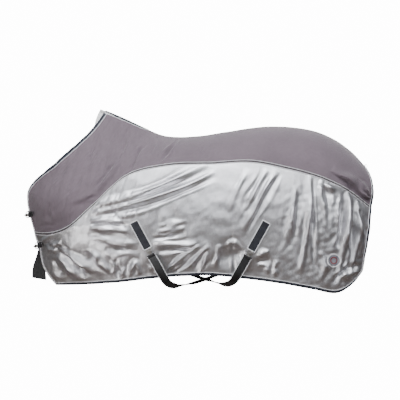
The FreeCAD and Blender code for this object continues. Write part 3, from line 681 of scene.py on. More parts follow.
# Each cloth's colour setting, shares of it in its dark and light parts, threads to the metre,
# depth of the weave in metres, roughness, and what else its fabric has.
FABRICS = {
    "Jersey knit": ("jersey", 0.84, 1.12, 700, 0.0003, 0.82,
                    {"slant": 0.5, "sheen": 0.35, "thread_shade": 0.2}),
    "Silver mesh": ("mesh", 0.90, 1.08, 620, 0.0002, 0.38,
                    {"metallic": 0.9, "sheen": 0.05, "dye_scale": 14, "contrast": 1.8,
                     "thread_shade": 0.25}),
    "Navy binding": ("binding", 0.8, 1.3, 900, 0.0002, 0.7,
                     {"slant": 1.0, "sheen": 0.1, "stitches": (0.0022,),
                      "thread": (0.16, 0.17, 0.2, 1)}),
    "Front edge tape": ("piping", 0.62, 0.85, 900, 0.0002, 0.6,
                        {"sheen": 0.2, "stitches": (0.0022,), "thread": (0.25, 0.25, 0.28, 1)}),
    "Pale piping": ("piping", 0.92, 1.1, 1200, 0.0001, 0.5, {"slant": 1.0, "sheen": 0.2}),
    "Seam tape": ("jersey", 0.3, 0.45, 900, 0.0001, 0.7, {}),
    "Charcoal patch": ("patch", 0.7, 1.35, 420, 0.0004, 0.62,
                       {"slant": 1.0, "sheen": 0.2, "dye_scale": 30, "contrast": 2.2}),
    "Black webbing": ("webbing", 0.7, 1.4, 420, 0.0005, 0.6,
                      {"slant": 1.0, "sheen": 0.15, "dye_scale": 20}),
}


def finish(name):
    """Material of that name, made the first time it is asked for."""
    if name in bpy.data.materials:
        return bpy.data.materials[name]
    colours = bpy.context.scene.rug_colours
    if name in FABRICS:
        key, dark, light, threads, depth, roughness, more = FABRICS[name]
        colour = getattr(colours, key)
        return fabric(name, shaded(colour, dark), shaded(colour, light), threads, depth,
                      roughness, **more)
    if name == "Fleece pile":
        return fleece_material(colours.fleece)
    if name == "Woven badge":
        return badge_material(colours.badge, colours.piping)
    return nickel_material()


def fleece_material(colour):
    material, tree, surface, place = new_material("Fleece pile")
    tufts = add_node(tree, "ShaderNodeTexVoronoi", Vector=place["Object"], Scale=260.0,
                     Randomness=1.0)
    curl = add_node(tree, "ShaderNodeTexNoise", Vector=place["Object"], Scale=900.0, Detail=4.0)
    height = maths(tree, "SUBTRACT", maths(tree, "MULTIPLY", curl.outputs["Fac"], 0.6),
                   tufts.outputs["Distance"])
    bump = add_node(tree, "ShaderNodeBump", Height=height, Distance=0.002, Strength=0.8)
    # painted shade: the pile is darker away from each tuft's middle, where it sinks between the
    # tufts
    shade = colour_mix(tree, tufts.outputs["Distance"], shaded(colour, 1.0), shaded(colour, 0.72))
    tree.links.new(shade, surface.inputs["Base Color"])
    tree.links.new(bump.outputs[0], surface.inputs["Normal"])
    surface.inputs["Roughness"].default_value = 0.95
    surface.inputs["Sheen Weight"].default_value = 0.8
    surface.inputs["Sheen Roughness"].default_value = 0.5
    return material


def badge_material(colour, rim):
    """Plain woven disc with one soft ring and a pale edge, with no lettering."""
    material, tree, surface, place = new_material("Woven badge")
    weave = effect(tree, "weave", Vector=place["UV"], Threads=900.0, Slant=1.0)
    radius = add_node(tree, "ShaderNodeSeparateXYZ", Vector=place["UV"]).outputs[0]
    edge = maths(tree, "GREATER_THAN", radius, 0.0285)
    band = maths(tree, "MULTIPLY", maths(tree, "GREATER_THAN", radius, 0.012),
                 maths(tree, "LESS_THAN", radius, 0.019))
    # painted shade from the weave darkens the ground between the threads, with random tone from
    # the noise
    ground = colour_mix(tree, weave["Shade"], shaded(colour, 0.75), shaded(colour, 1.0))
    ground = colour_mix(tree, band, ground, (0.20, 0.075, 0.085, 1))
    ground = colour_mix(tree, edge, ground, shaded(rim, 1.0))
    bump = add_node(tree, "ShaderNodeBump", Height=weave["Height"], Distance=0.0002)
    tree.links.new(ground, surface.inputs["Base Color"])
    tree.links.new(bump.outputs[0], surface.inputs["Normal"])
    surface.inputs["Roughness"].default_value = 0.6
    return material


def nickel_material():
    material, tree, surface, place = new_material("Nickel")
    wear = effect(tree, "mottle", Vector=place["Object"], Scale=90.0, Contrast=2.4)["Mask"]
    colour = colour_mix(tree, wear, (0.52, 0.51, 0.50, 1), (0.78, 0.77, 0.75, 1))
    rough = maths(tree, "ADD", maths(tree, "MULTIPLY", wear, 0.14), 0.27)
    grain = add_node(tree, "ShaderNodeTexNoise", Vector=place["Object"], Scale=1500.0)
    bump = add_node(tree, "ShaderNodeBump", Height=grain.outputs["Fac"], Distance=0.00005)
    tree.links.new(colour, surface.inputs["Base Color"])
    tree.links.new(rough, surface.inputs["Roughness"])
    tree.links.new(bump.outputs[0], surface.inputs["Normal"])
    surface.inputs["Metallic"].default_value = 1.0
    return material


# ---- Pieces -----------------------------------------------------------------------------------
def edge_margin(u, v, width):
    """u moved in from an edge line by a width, to the side that the cloth is on."""
    return u + (1 if u < 0.5 else -1) * along_share(width, u, v)


def panel_places(v_start, v_end, columns, rows, inset):
    """(u, v) grid between two rows of the surface, inset from the neck and tail edges."""
    b = np.linspace(0, 1, rows)
    v = v_start + (v_end - v_start) * b
    low, high = edge_margin(0.0, v, inset), edge_margin(1.0, v, inset)
    a = np.linspace(0, 1, columns)[:, None]
    return low + (high - low) * a, np.broadcast_to(v, (columns, rows))


def make_jersey():
    inset = bpy.context.scene.rug_sizes.binding_width * PANEL_INSET
    u, v = panel_places(0.0, 0.5, 330, 84, inset)
    near = cloth(u, v, CLOTH)
    far = cloth(u, v, CLOTH, far=True)
    near[:, 0, 1] = far[:, 0, 1] = 0.0
    outer = np.concatenate([near[:, ::-1], far[:, 1:]], axis=1)
    jersey = cloth_sheet("jersey_shell", outer, JERSEY_THICKNESS, finish("Jersey knit"),
                         outward=-1)
    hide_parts("near_topline_panel", "far_topline_panel")


def make_side(far):
    side = "far" if far else "near"
    inset = bpy.context.scene.rug_sizes.binding_width * PANEL_INSET
    columns, rows = (240, 72) if far else (340, 110)
    u, v = panel_places(0.5, 1.0, columns, rows, inset)
    v = np.minimum(v, 1 - down_share(inset, u, 1.0))
    outer = cloth(u, v, CLOTH, far=far)
    panel = cloth_sheet(side + "_mesh_side", outer, MESH_THICKNESS, finish("Silver mesh"),
                        outward=-1 if far else 1)
    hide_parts(side + "_side_panel")


BINDING_SECTION = (  # share of the width inwards from the edge, and height in millimetres
    (1.0, 2.3), (0.97, 3.0), (0.75, 3.3), (0.4, 3.4), (0.12, 3.2), (-0.02, 2.4), (-0.08, 1.0),
    (-0.02, -0.4), (0.12, -1.2), (0.5, -1.2), (0.97, -0.9), (1.0, -0.4),
)


def edge_rings(u, v, across, width, far):
    """Rings of a folded tape on a line of (u, v); across is the step inwards per metre."""
    rings = []
    for share, height in BINDING_SECTION:
        reach = share * width
        rings.append(cloth(u + across[0] * reach, v + across[1] * reach, height * MM, far))
    return np.stack(rings, axis=1)


def lay_piping(name, u, v, height, radius, far):
    """Pale piping on a line of (u, v), at a height in millimetres."""
    line = cloth(u, v, height * MM, far)
    outward = cloth(u, v, (height + 5) * MM, far) - line
    piping = sweep(name, tube_rings(line, radius, outward), finish("Pale piping"))
    return piping


def edge_tape(name, nodes, u, v, inward, far, material="Navy binding", width=None):
    """Folded tape on an edge, with pale piping along its inner side."""
    width = width or bpy.context.scene.rug_sizes.binding_width
    if inward == "along":
        sign = np.where(u < 0.5, 1.0, -1.0)
        across = (sign * along_share(1.0, u, v), np.zeros_like(v))
    else:
        sign = 1.0 if inward == "down" else -1.0
        across = (np.zeros_like(u), sign * down_share(1.0, u, v))
    tape = sweep(name, edge_rings(u, v, across, width, far), finish(material))
    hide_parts(*nodes)
    reach = width + 0.0006
    piping = lay_piping(name + "_piping", u + across[0] * reach, v + across[1] * reach, 2.6,
                        bpy.context.scene.rug_sizes.piping_radius, far)
    return [tape, piping]


def make_edges(far):
    side = "far" if far else "near"
    v = np.linspace(0.003, CHEST_TOP, 110)
    neck = edge_tape(side + "_neck_tape", [side + "_neck_binding"], np.zeros_like(v), v,
                     "along", far)
    v = np.linspace(CHEST_TOP, 0.985, 200)
    front = edge_tape(side + "_front_tape", [side + "_front_binding"], np.zeros_like(v), v,
                      "along", far, material="Front edge tape", width=0.010)
    v = np.linspace(0.004, 0.985, 260)
    rear = edge_tape(side + "_rear_tape", [side + "_rear_binding"], np.ones_like(v), v,
                     "along", far)
    u = np.linspace(0.0, 1.0, 420)
    hem = edge_tape(side + "_hem_tape", [side + "_hem_binding"], u, np.ones_like(u),
                    "up", far)
    return neck + front + rear + hem


def make_crest(far):
    """Dark tape on the crest from the neck edge back, with piping under it."""
    side = "far" if far else "near"
    u = np.linspace(0.002, CREST_END, 90)
    share = down_share(1.0, u, 0.0)
    fade = 1 - step_up(u, CREST_END - 0.03, CREST_END)
    width = 0.013 * (0.35 + 0.65 * fade)
    rings = []
    for s, height in ((0.02, 2.0), (0.02, 3.4), (0.3, 3.8), (0.8, 3.7), (1.0, 3.0), (1.0, 2.0)):
        rings.append(cloth(u, s * width * share, height * MM, far))
    rings = np.stack(rings, axis=1)
    crest = sweep(side + "_crest_tape", rings, finish("Navy binding"))
    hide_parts(side + "_crest_binding")
    return [crest, lay_piping(side + "_crest_piping", u, (width + 0.002) * share, 2.6, 0.0017,
                              far)]


def make_seam(far):
    """Twin pale pipings on a dark tape along the colour seam."""
    side = "far" if far else "near"
    u = np.linspace(0.0, 1.0, 460)
    v = np.full_like(u, 0.5)
    u = edge_margin(0.0, 0.5, 0.010) * (1 - u) + edge_margin(1.0, 0.5, 0.013) * u
    share = down_share(1.0, u, v)
    rings = []
    for off, height in ((-8.5, 1.9), (-7.5, 2.7), (0, 2.9), (7.5, 2.7), (8.5, 1.9), (0, 1.0)):
        rings.append(cloth(u, v + off * MM * share, height * MM, far))
    tape = sweep(side + "_seam_tape", np.stack(rings, axis=1), finish("Seam tape"))
    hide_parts(side + "_seam_piping")
    made = [tape]
    for label, off, radius in (("upper", -6.2, 0.0012), ("lower", 6.2, 0.0015)):
        made.append(lay_piping(f"{side}_seam_{label}_piping", u, v + off * MM * share, 3.0,
                               radius, far))
    return made


def make_patch(name, ends, far):
    """Webbing patch on the mesh, with pale piping all round it."""
    side = "far" if far else "near"
    sizes = bpy.context.scene.rug_sizes
    (x0, z0), (x1, z1) = ends
    length = math.hypot(x1 - x0, z1 - z0)
    run = ((x1 - x0) / length, (z1 - z0) / length)
    half = sizes.webbing_width / 2

    def place(a, off, height):
        a, off = np.broadcast_arrays(np.asarray(a, float), np.asarray(off, float))
        u, v = locate(x0 + run[0] * a + run[1] * off, z0 + run[1] * a - run[0] * off)
        return cloth(u, v, height, far)

    a = np.linspace(0.0, length, 60)
    pucker = 0.0004 * np.sin(a * 160) * np.sin(a * 41)
    section = [(-1, 2.0), (-0.99, 3.6), (-0.93, 4.2), (-0.4, 4.3), (0.4, 4.3), (0.93, 4.2),
               (0.99, 3.6), (1, 2.0)]
    rings = [place(a, s * half, h * MM + (pucker if h > 4 else 0)) for s, h in section]
    strip = sweep(f"{side}_{name}_patch_cloth", np.stack(rings, axis=1), finish("Charcoal patch"))
    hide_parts(f"{side}_{name}_patch")
    inset = 0.0022
    corners = []
    for start, end in (((0, -1), (1, -1)), ((1, -1), (1, 1)), ((1, 1), (0, 1)), ((0, 1), (0, -1))):
        steps = 30 if start[1] == end[1] else 12
        for t in np.linspace(0, 1, steps, endpoint=False):
            corners.append((start[0] + (end[0] - start[0]) * t,
                            start[1] + (end[1] - start[1]) * t))
    corners = np.array(corners)
    a = inset + corners[:, 0] * (length - 2 * inset)
    off = corners[:, 1] * (half - inset)
    line = place(a, off, 4.3 * MM)
    outward = place(a, off, 9 * MM) - line
    piping = sweep(f"{side}_{name}_patch_piping", tube_rings(line, 0.0024, outward, closed=True),
                   finish("Pale piping"), closed=True)


def strap_path(start, end_x, rise, count=150):
    """Centres and outward facings of a belly strap from its hook to the far patch."""
    girth = np.concatenate([[start[1:]], STRAP_GIRTH])
    knots = chord_knots(girth)
    t = np.linspace(0, 1, count)
    flat = spline(knots, girth, t)
    run = (spline(knots, girth, t + 1e-3) - spline(knots, girth, t - 1e-3))
    centres = np.stack([start[0] + (end_x - start[0]) * t, flat[:, 0],
                        flat[:, 1] + rise * np.sin(math.pi * t) ** 2], axis=1)
    facings = unit(np.stack([np.zeros(count), run[:, 1], -run[:, 0]], axis=1))
    side = np.cross(unit(np.gradient(centres, axis=0)), facings)
    side *= 1 if end_x < start[0] else -1
    twist = (STRAP_TWIST * step_up(t, 0.15, 0.27) * (1 - step_up(t, 0.32, 0.5)))[:, None]
    return centres, facings * np.cos(twist) + side * np.sin(twist)


STRAPS = (
    ("front", (-0.0664, -0.30106, -0.58004), 0.42607, 0.0,
     (-0.47184, -0.02529, 0.88132), (0.87807, -0.10396, 0.46711)),
    ("rear", (0.40951, -0.31714, -0.58766), -0.08212, 0.019,
     (0.48417, -0.03322, 0.87434), (0.87411, 0.06268, -0.48166)),
)


def make_strap(name, start, end_x, rise, up, across):
    sizes = bpy.context.scene.rug_sizes
    start, up, across = np.array(start), np.array(up), np.array(across)
    out = np.cross(across, up)
    centres, facings = strap_path(start, end_x, rise)
    centres = centres + facings * 0.001
    loop = np.array(((-8, -0.4), (0, -1.0), (5, -0.9), (8.4, 0.4), (8.8, 2.4), (6.6, 3.9),
                     (2, 3.9), (-4, 2.6)), float) * MM
    head = start + loop[:, :1] * up + (loop[:, 1:] + 0.001) * out
    head = resample(head, 26)
    body = resample(np.concatenate([[head[-1]], centres[6:]]), 170)
    path = np.concatenate([head[:-1], body])
    turn = np.gradient(path, axis=0)
    side = unit(across)
    ahead = step_up(np.linspace(0, 1, len(path)), 0.14, 0.3)[:, None]
    spread = np.cross(unit(np.gradient(centres, axis=0)), facings)
    late = spread[np.clip(np.arange(len(path)) - len(head) + 6, 0, len(spread) - 1)]
    side = unit(side * (1 - ahead) * np.sign(np.sum(late * side, axis=1, keepdims=True))
                + late * ahead)
    facing = np.cross(side, unit(turn))
    strap = sweep(f"{name}_belly_strap", ribbon_rings(path, facing, sizes.webbing_width - 0.002,
                                                      0.0019), finish("Black webbing"),
                  body=f"{name}_strap")
    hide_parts(f"{name}_strap")
    half = sizes.webbing_width / 2 - 0.0024
    near_hook = slice(18, 46)
    for label, sign in (("left", -1), ("right", 1)):
        edge = (path + side * (sign * half) + facing * 0.0009)[near_hook]
        piping = sweep(f"{name}_strap_{label}_piping",
                       tube_rings(edge, 0.0017, facing[near_hook]),
                       finish("Pale piping"), body=f"{name}_strap")


def make_fleece():
    """Pile lining that shows above the neck edge and pads the withers."""
    columns, rows = 120, 90
    side = np.linspace(-1, 1, rows)[None, :]
    start = -float(along_share(0.024, 0.0, 0.05)) * (1 - 0.8 * np.abs(side) ** 2.5)
    u = start + (0.12 - start) * np.linspace(0, 1, columns)[:, None]
    v = np.abs(side) * down_share(0.095, u, 0.02)
    point, _, _, normal = base_frame(u, np.maximum(v, 1e-3))
    a = np.linspace(0, 1, columns)[:, None] * np.ones((1, rows))
    rim = np.minimum(np.minimum(a, 1 - a) * 11, (1 - np.abs(side)) * 5.5)
    plump = np.sqrt(np.clip(1 - (1 - np.clip(rim, 0, 1)) ** 2, 0, 1))
    chance = np.random.default_rng(3)
    tufts = chance.uniform(-1, 1, plump.shape)
    tufts = (tufts + np.roll(tufts, 1, 0) + np.roll(tufts, 1, 1) + np.roll(tufts, 1, (0, 1))) / 4
    middle, half = -0.0075, 0.0044
    top = point + normal * (middle + half * plump + 0.0013 * tufts * plump)[..., None]
    low = point + normal * (middle - half * plump - 0.0013 * tufts[::-1] * plump)[..., None]
    for face in (top, low):
        face[..., 1] *= np.where(side > 0, -1, 1)
    fleece = shell("fleece_pad", top, low, finish("Fleece pile"), outward=-1)
    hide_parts("fleece_lining")


def make_spine_tape():
    u = np.linspace(CREST_END, 0.985, 150)
    share = down_share(0.011, u, 0.02)
    rings = []
    for s, height in ((-1, -0.4), (0, -0.3), (1, -0.4), (1, -1.3), (0, -1.4), (-1, -1.3)):
        point, _, _, normal = base_frame(u, np.maximum(abs(s) * share, 1e-3))
        point = point + normal * height * MM
        point[:, 1] = point[:, 1] * -s if s else 0
        rings.append(point)
    tape = sweep("spine_tape", np.stack(rings, axis=1), finish("Seam tape"))
    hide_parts("spine_seam_tape")
    return tape


def make_underlap():
    """Flap between the two front edges, below the chest closure, whose black is painted shade for
    the dark inside the far front edge.
    """
    far_edge = MM * np.array(((-634, 2, -556), (-648, 3, -606), (-666, 5, -664),
                              (-668, 6, -712)), float)
    near_edge = MM * np.array(((-618, -3, -556), (-616, -5, -608), (-606, -8, -668),
                               (-600, -12, -722)), float)
    knots = chord_knots(far_edge)
    t = np.linspace(0, 1, 60)
    far_line, near_line = spline(knots, far_edge, t), spline(knots, near_edge, t)
    s = np.linspace(0, 1, 40)[None, :, None]
    outward = unit(np.array((-0.15, -1, 0)))
    grid = far_line[:, None] * (1 - s) + near_line[:, None] * s
    wave = 0.002 * np.sin(9 * s + 3 * t[:, None, None]) * np.sin(math.pi * s)
    grid = grid + outward * (0.004 * s * (1 - s) + 0.0018 + wave)
    # painted shade: the sheet's black webbing colour stands for the shade inside the far front
    # edge
    sheet = cloth_sheet("chest_underlap_cloth", grid, FLAP_THICKNESS, finish("Black webbing"))
    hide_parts("chest_underlap")
    rim = np.concatenate([grid[:, 0], grid[-1, 1:], grid[::-1, -1][1:], grid[0, ::-1][1:-1]])
    rim = resample(rim, 160, closed=True)
    facings = np.broadcast_to(outward, rim.shape)
    edge = sweep("chest_underlap_edge", tube_rings(rim, 0.0022, facings, closed=True),
                 finish("Navy binding"), closed=True)


def flap_points(a, b):
    a, b = np.broadcast_arrays(np.asarray(a, float), np.asarray(b, float))
    half = 80 + 68 * np.minimum(1.0, 1.6 * b)
    round_off = np.where(b > 0.5, 1 - 0.10 * a**4, 1 - 0.10 * a**4 * (2 * b) ** 3)
    belly = 9 * np.sin(math.pi * b) - 6 * b + 4 * (1 - a * a) * np.minimum(1.0, 3 * b)
    return FLAP_HINGE + MM * np.stack([belly, half * a, -398 * b * round_off], axis=-1)


def flap_cloth(a, b, height):
    """Points over the draped tail flap, with soft folds that hang from the dock."""
    a, b = np.broadcast_arrays(np.asarray(a, float), np.asarray(b, float))
    point = flap_points(a, b)
    step = 1e-3
    across = flap_points(a + step, b) - flap_points(a - step, b)
    down = flap_points(a, b + step) - flap_points(a, b - step)
    normal = unit(np.cross(down, across))
    fold = 0.0055 * np.sin(6.4 * a + 0.9) * b**0.7 + 0.003 * np.sin(13 * a + 2.0 * b) * b
    fold = fold + 0.0012 * np.sin(31 * b + 5 * a) * (1 - b)
    fold = fold * (1 - 0.6 * np.exp(-((1 - np.abs(a)) / 0.12)))
    return point + normal * (height + fold)[..., None]


def make_tail_flap():
    columns, rows = 90, 120
    a = np.linspace(-0.95, 0.95, columns)[None, :]
    b = np.linspace(0.0, 0.975, rows)[:, None]
    outer = flap_cloth(a, b, CLOTH)
    flap = cloth_sheet("tail_flap_cloth", outer, MESH_THICKNESS, finish("Silver mesh"),
                       body="tail_flap", outward=-1)
    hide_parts("tail_flap")
    corner = 0.07
    side = np.linspace(0.0, 1 - corner, 90)
    turn = np.linspace(0, math.pi / 2, 14)[1:-1]
    bottom = np.linspace(1 - 2 * corner, -(1 - 2 * corner), 90)
    path_a = np.concatenate([np.ones(90), 1 - 2 * corner + 2 * corner * np.cos(turn), bottom,
                             -(1 - 2 * corner) - 2 * corner * np.sin(turn), -np.ones(90)])
    path_b = np.concatenate([side, 1 - corner + corner * np.sin(turn), np.ones(90),
                             1 - corner + corner * np.cos(turn), side[::-1]])
    middle_a, middle_b = path_a * 0.96, np.minimum(path_b, 1.0) * 0.985
    centre = flap_cloth(middle_a, middle_b, 0.001)
    outward = flap_cloth(middle_a, middle_b, 0.006) - centre
    tape = sweep("tail_flap_tape", ribbon_rings(centre, outward, 0.0135, 0.0042),
                 finish("Navy binding"), body="tail_flap")
    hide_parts("tail_flap_binding")
    inner = flap_cloth(path_a * 0.895, np.minimum(path_b * 0.962, 1.0), 0.0026)
    piping = sweep("tail_flap_piping", tube_rings(inner, 0.0014, outward),
                   finish("Pale piping"), body="tail_flap")


def make_yoke():
    a = np.linspace(-1, 1, 70)
    edge = base(np.ones_like(a), np.abs(a) * 0.085)
    top = np.stack([edge[:, 0], np.abs(edge[:, 1]) * np.sign(a), edge[:, 2] - 0.001], axis=1)
    foot = FLAP_HINGE + np.stack([0 * a, 0.080 * a, 0 * a + 0.001], axis=1)
    t = np.linspace(0, 1, 16)[:, None, None]
    grid = top[None] * (1 - t) + foot[None] * t + (0.002, 0, 0)
    yoke = cloth_sheet("tail_yoke_cloth", grid, FLAP_THICKNESS, finish("Jersey knit"), outward=-1)
    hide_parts("tail_flap_yoke")


def make_tail_loop():
    corners = MM * np.array(((-3.7, 1), (-3.7, 13), (-3.7, 25), (-1.6, 27.2), (1.6, 27.2),
                             (3.7, 25), (3.7, 13), (3.7, 1), (1.6, 0.9), (-1.6, 0.9)), float)
    path = resample(corners, 60, closed=True)
    centres = np.stack([1.0109 + path[:, 0], np.zeros(60), -0.168 + path[:, 1]], axis=1)
    middle = np.array((1.0109, 0, -0.154))
    rings = ribbon_rings(centres, centres - middle, 0.0155, 0.0017, closed=True)
    loop = sweep("tail_cord_loop", rings, finish("Black webbing"), closed=True)
    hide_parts("tail_loop")


CLOSURES = (("upper", (-0.702, 0, -0.398), 0.15), ("lower", (-0.656, 0, -0.556), 0.2))


TAB_BORE = 0.0029


def make_tab(name, origin, along, bar, side):
    """Webbing round a bar, doubled back and sewn, made along the closure's own line."""
    across = unit(np.cross(along, (0, 0, 1)))
    up = np.cross(across, along)
    radius = TAB_BORE + 0.0009
    turn = np.linspace(-math.pi / 2, math.pi / 2, 15)
    bow = [(math.sin(t) * radius, bar - side * math.cos(t) * radius) for t in turn]
    run = [(s * (0.0012 + (radius - 0.0012) * math.exp(-k / 4.0)), bar + side * k * 0.0022)
           for s in (-1, 1) for k in range(1, 15)]
    path = np.array(run[:14][::-1] + bow + run[14:])
    path = resample(path, 90)
    centres = origin + path[:, :1] * across + path[:, 1:] * along
    tangent = unit(np.gradient(centres, axis=0))
    facings = np.cross(up, tangent)
    tab = sweep(name + "_webbing", ribbon_rings(centres, facings, 0.0245, 0.0016),
                finish("Black webbing"))
    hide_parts(name)


def make_chest_tabs():
    for name, apex, tilt in CLOSURES:
        for side, piece in ((-1, "snap_tab"), (1, "ring_tab")):
            along = unit(np.array((side * 0.5, 0.87, side * tilt)))
            across = unit(np.cross(along, (0, 0, 1)))
            if side < 0:
                origin = np.array(apex) - across * 0.003 - along * 0.0326
                make_tab(f"{name}_{piece}", origin, along, -0.01225, -1)
            else:
                make_tab(f"{name}_{piece}", np.array(apex), along, 0.031, 1)


def make_badge():
    rings, steps = 14, 72
    radius = np.linspace(0.0005, BADGE_RADIUS, rings)[:, None]
    turn = np.linspace(0, 2 * math.pi, steps, endpoint=False)[None, :]
    x = BADGE_CENTRE[0] + radius * np.cos(turn)
    z = BADGE_CENTRE[1] + radius * np.sin(turn)
    u, v = locate(x, z)
    top = cloth(u, v, 3.5 * MM)
    low = cloth(u, v, 2.1 * MM)
    count = rings * steps
    i, j = np.meshgrid(np.arange(rings - 1), np.arange(steps), indexing="ij")
    a, b = i * steps + j, i * steps + (j + 1) % steps
    quads = np.stack([a, b, b + steps, a + steps], axis=-1).reshape(-1, 4)
    faces = quads[:, ::-1].tolist() + (quads + count).tolist()
    last = (rings - 1) * steps
    faces += [[last + k, last + (k + 1) % steps, last + (k + 1) % steps + count,
               last + k + count] for k in range(steps)]
    faces += [list(range(steps)), list(range(count + steps - 1, count - 1, -1))]
    flat = np.stack(np.broadcast_arrays(radius, turn * 0.03), axis=-1)
    badge = new_piece("round_badge_patch", np.concatenate([top.reshape(-1, 3),
                                                           low.reshape(-1, 3)]),
                      faces, np.concatenate([flat, flat]), finish("Woven badge"))
    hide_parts("round_badge")
    edge = cloth(*locate(BADGE_CENTRE[0] + BADGE_RADIUS * np.cos(turn[0]),
                         BADGE_CENTRE[1] + BADGE_RADIUS * np.sin(turn[0])), 3.2 * MM)
    outward = np.broadcast_to((0.0, -1.0, 0.0), edge.shape)
    rim = sweep("round_badge_rim", tube_rings(edge, 0.0015, outward, closed=True),
                finish("Pale piping"), closed=True)


# ---- Stage ------------------------------------------------------------------------------------
def make_floor(scene):
    """Wide pale floor, brighter to the eye than in the light it throws back."""
    reach = 60.0
    corners = [(x * reach, y * reach, FLOOR_HEIGHT)
               for x, y in ((-1, -1), (1, -1), (1, 1), (-1, 1))]
    mesh = bpy.data.meshes.new("floor")
    mesh.from_pydata(corners, [], [[0, 1, 2, 3]])
    floor = bpy.data.objects.new("floor", mesh)
    scene.collection.objects.link(floor)
    material, tree, surface, place = new_material("Pale floor")
    speck = add_node(tree, "ShaderNodeTexNoise", Vector=place["Object"], Scale=3.0, Detail=2.0)
    colour = colour_mix(tree, speck.outputs["Fac"], (0.075, 0.052, 0.040, 1),
                        (0.095, 0.068, 0.052, 1))
    tree.links.new(colour, surface.inputs["Base Color"])
    surface.inputs["Roughness"].default_value = 0.9
    glow = add_node(tree, "ShaderNodeEmission", Color=(1, 1, 1, 1), Strength=PALE)
    seen = maths(tree, "MULTIPLY", add_node(tree, "ShaderNodeLightPath").outputs[0], 0.9)
    blend = add_node(tree, "ShaderNodeMixShader", i0=seen, i1=surface.outputs[0],
                     i2=glow.outputs[0])
    tree.links.new(blend.outputs[0], tree.nodes["Material Output"].inputs["Surface"])
    mesh.materials.append(material)


def make_world(scene):
    """Soft light from all round, and a pale backdrop for the eye."""
    world = bpy.data.worlds.new("studio")
    world.use_nodes = True
    tree = world.node_tree
    light = tree.nodes["Background"]
    light.inputs["Color"].default_value = (0.93, 0.96, 1, 1)
    light.inputs["Strength"].default_value = 0.17
    pale = add_node(tree, "ShaderNodeBackground", Color=(1, 1, 1, 1), Strength=PALE)
    blend = add_node(tree, "ShaderNodeMixShader",
                     i0=add_node(tree, "ShaderNodeLightPath").outputs[0],
                     i1=light.outputs[0], i2=pale.outputs[0])
    tree.links.new(blend.outputs[0], tree.nodes["World Output"].inputs["Surface"])
    scene.world = world


def area_light(scene, name, place, aim, size, power, colour):
    data = bpy.data.lights.new(name, "AREA")
    data.shape = "RECTANGLE"
    data.size, data.size_y = size
    data.energy = power
    data.color = colour
    lamp = bpy.data.objects.new(name, data)
    lamp.location = place
    lamp.rotation_euler = (Vector(aim) - Vector(place)).to_track_quat("-Z", "Y").to_euler()
    lamp.visible_camera = False
    scene.collection.objects.link(lamp)


# ---- Settings -------------------------------------------------------------------------------
def colour_property(name, description, default):
    return bpy.props.FloatVectorProperty(
        name=name, description=description, subtype="COLOR", size=3, min=0, max=1,
        default=default)


class RugSizes(bpy.types.PropertyGroup):
    """Sizes of the sewn trim."""
    binding_width: bpy.props.FloatProperty(
        name="Binding width", description="Width of the folded edge tape that shows",
        default=0.014, unit="LENGTH")
    piping_radius: bpy.props.FloatProperty(
        name="Piping radius", description="Radius of the pale piping beside the edge tape",
        default=0.0015, unit="LENGTH")
    webbing_width: bpy.props.FloatProperty(
        name="Webbing width", description="Width of the belly straps and their patches",
        default=0.047, unit="LENGTH")


class RugColours(bpy.types.PropertyGroup):
    """Colours of the cloths."""
    jersey: colour_property("Jersey", "Stretch knit of the neck and back", (0.150, 0.118, 0.140))
    mesh: colour_property("Mesh", "Silver mesh of the sides and tail flap", (0.67, 0.665, 0.69))
    binding: colour_property("Binding", "Folded tape on the edges", (0.010, 0.012, 0.022))
    piping: colour_property("Piping", "Pale cord beside the edge tape", (0.78, 0.78, 0.80))
    patch: colour_property("Patch", "Webbing patches of the belly straps", (0.012, 0.013, 0.020))
    webbing: colour_property("Webbing", "Belly straps and tabs", (0.006, 0.006, 0.007))
    fleece: colour_property("Fleece", "Pile at the top of the neck", (0.95, 0.95, 0.95))
    badge: colour_property("Badge", "Plain round patch on the quarter", (0.22, 0.22, 0.25))


# ---- Operators ------------------------------------------------------------------------------
class RUG_OT_panels(bpy.types.Operator):
    """Jersey over the neck and back, and the two mesh sides"""
    bl_idname = "rug.panels"
    bl_label = "Panels"

    def execute(self, context):
        make_jersey()
        make_side(False)
        make_side(True)
        return {"FINISHED"}


class RUG_OT_edges(bpy.types.Operator):
    """Edge tapes, crest tape, seam piping and the tape under the spine"""
    bl_idname = "rug.edges"
    bl_label = "Edges and seams"

    def execute(self, context):
        trims = {"jersey_shell": [make_spine_tape()]}
        for far in (False, True):
            neck_tape, neck_piping, *rest = make_edges(far)
            trims["jersey_shell"] += [neck_tape, neck_piping] + make_crest(far)
            trims["far_mesh_side" if far else "near_mesh_side"] = rest + make_seam(far)
        context.scene["rug_trims"] = {k: [p.name for p in v] for k, v in trims.items()}
        return {"FINISHED"}


class RUG_OT_straps(bpy.types.Operator):
    """Belly straps and their patches"""
    bl_idname = "rug.straps"
    bl_label = "Belly straps"

    def execute(self, context):
        for name, ends in (("front", FRONT_PATCH), ("rear", REAR_PATCH)):
            for far in (False, True):
                make_patch(name, ends, far)
        for strap in STRAPS:
            make_strap(*strap)
        return {"FINISHED"}


class RUG_OT_neck(bpy.types.Operator):
    """Fleece at the neck, and the chest closure's flap and tabs"""
    bl_idname = "rug.neck"
    bl_label = "Neck and chest"

    def execute(self, context):
        make_fleece()
        make_underlap()
        make_chest_tabs()
        return {"FINISHED"}


class RUG_OT_tail(bpy.types.Operator):
    """Tail flap, its yoke, and the loop for the tail cord"""
    bl_idname = "rug.tail"
    bl_label = "Tail flap"

    def execute(self, context):
        make_tail_flap()
        make_yoke()
        make_tail_loop()
        return {"FINISHED"}


class RUG_OT_badge(bpy.types.Operator):
    """Plain round patch on the near quarter"""
    bl_idname = "rug.badge"
    bl_label = "Badge"

    def execute(self, context):
        make_badge()
        return {"FINISHED"}


class RUG_OT_sheets(bpy.types.Operator):
    """Empty step: it makes no flat sizes of the cloths"""
    bl_idname = "rug.sheets"
    bl_label = "Flat sizes"

    def execute(self, context):
        return {"FINISHED"}


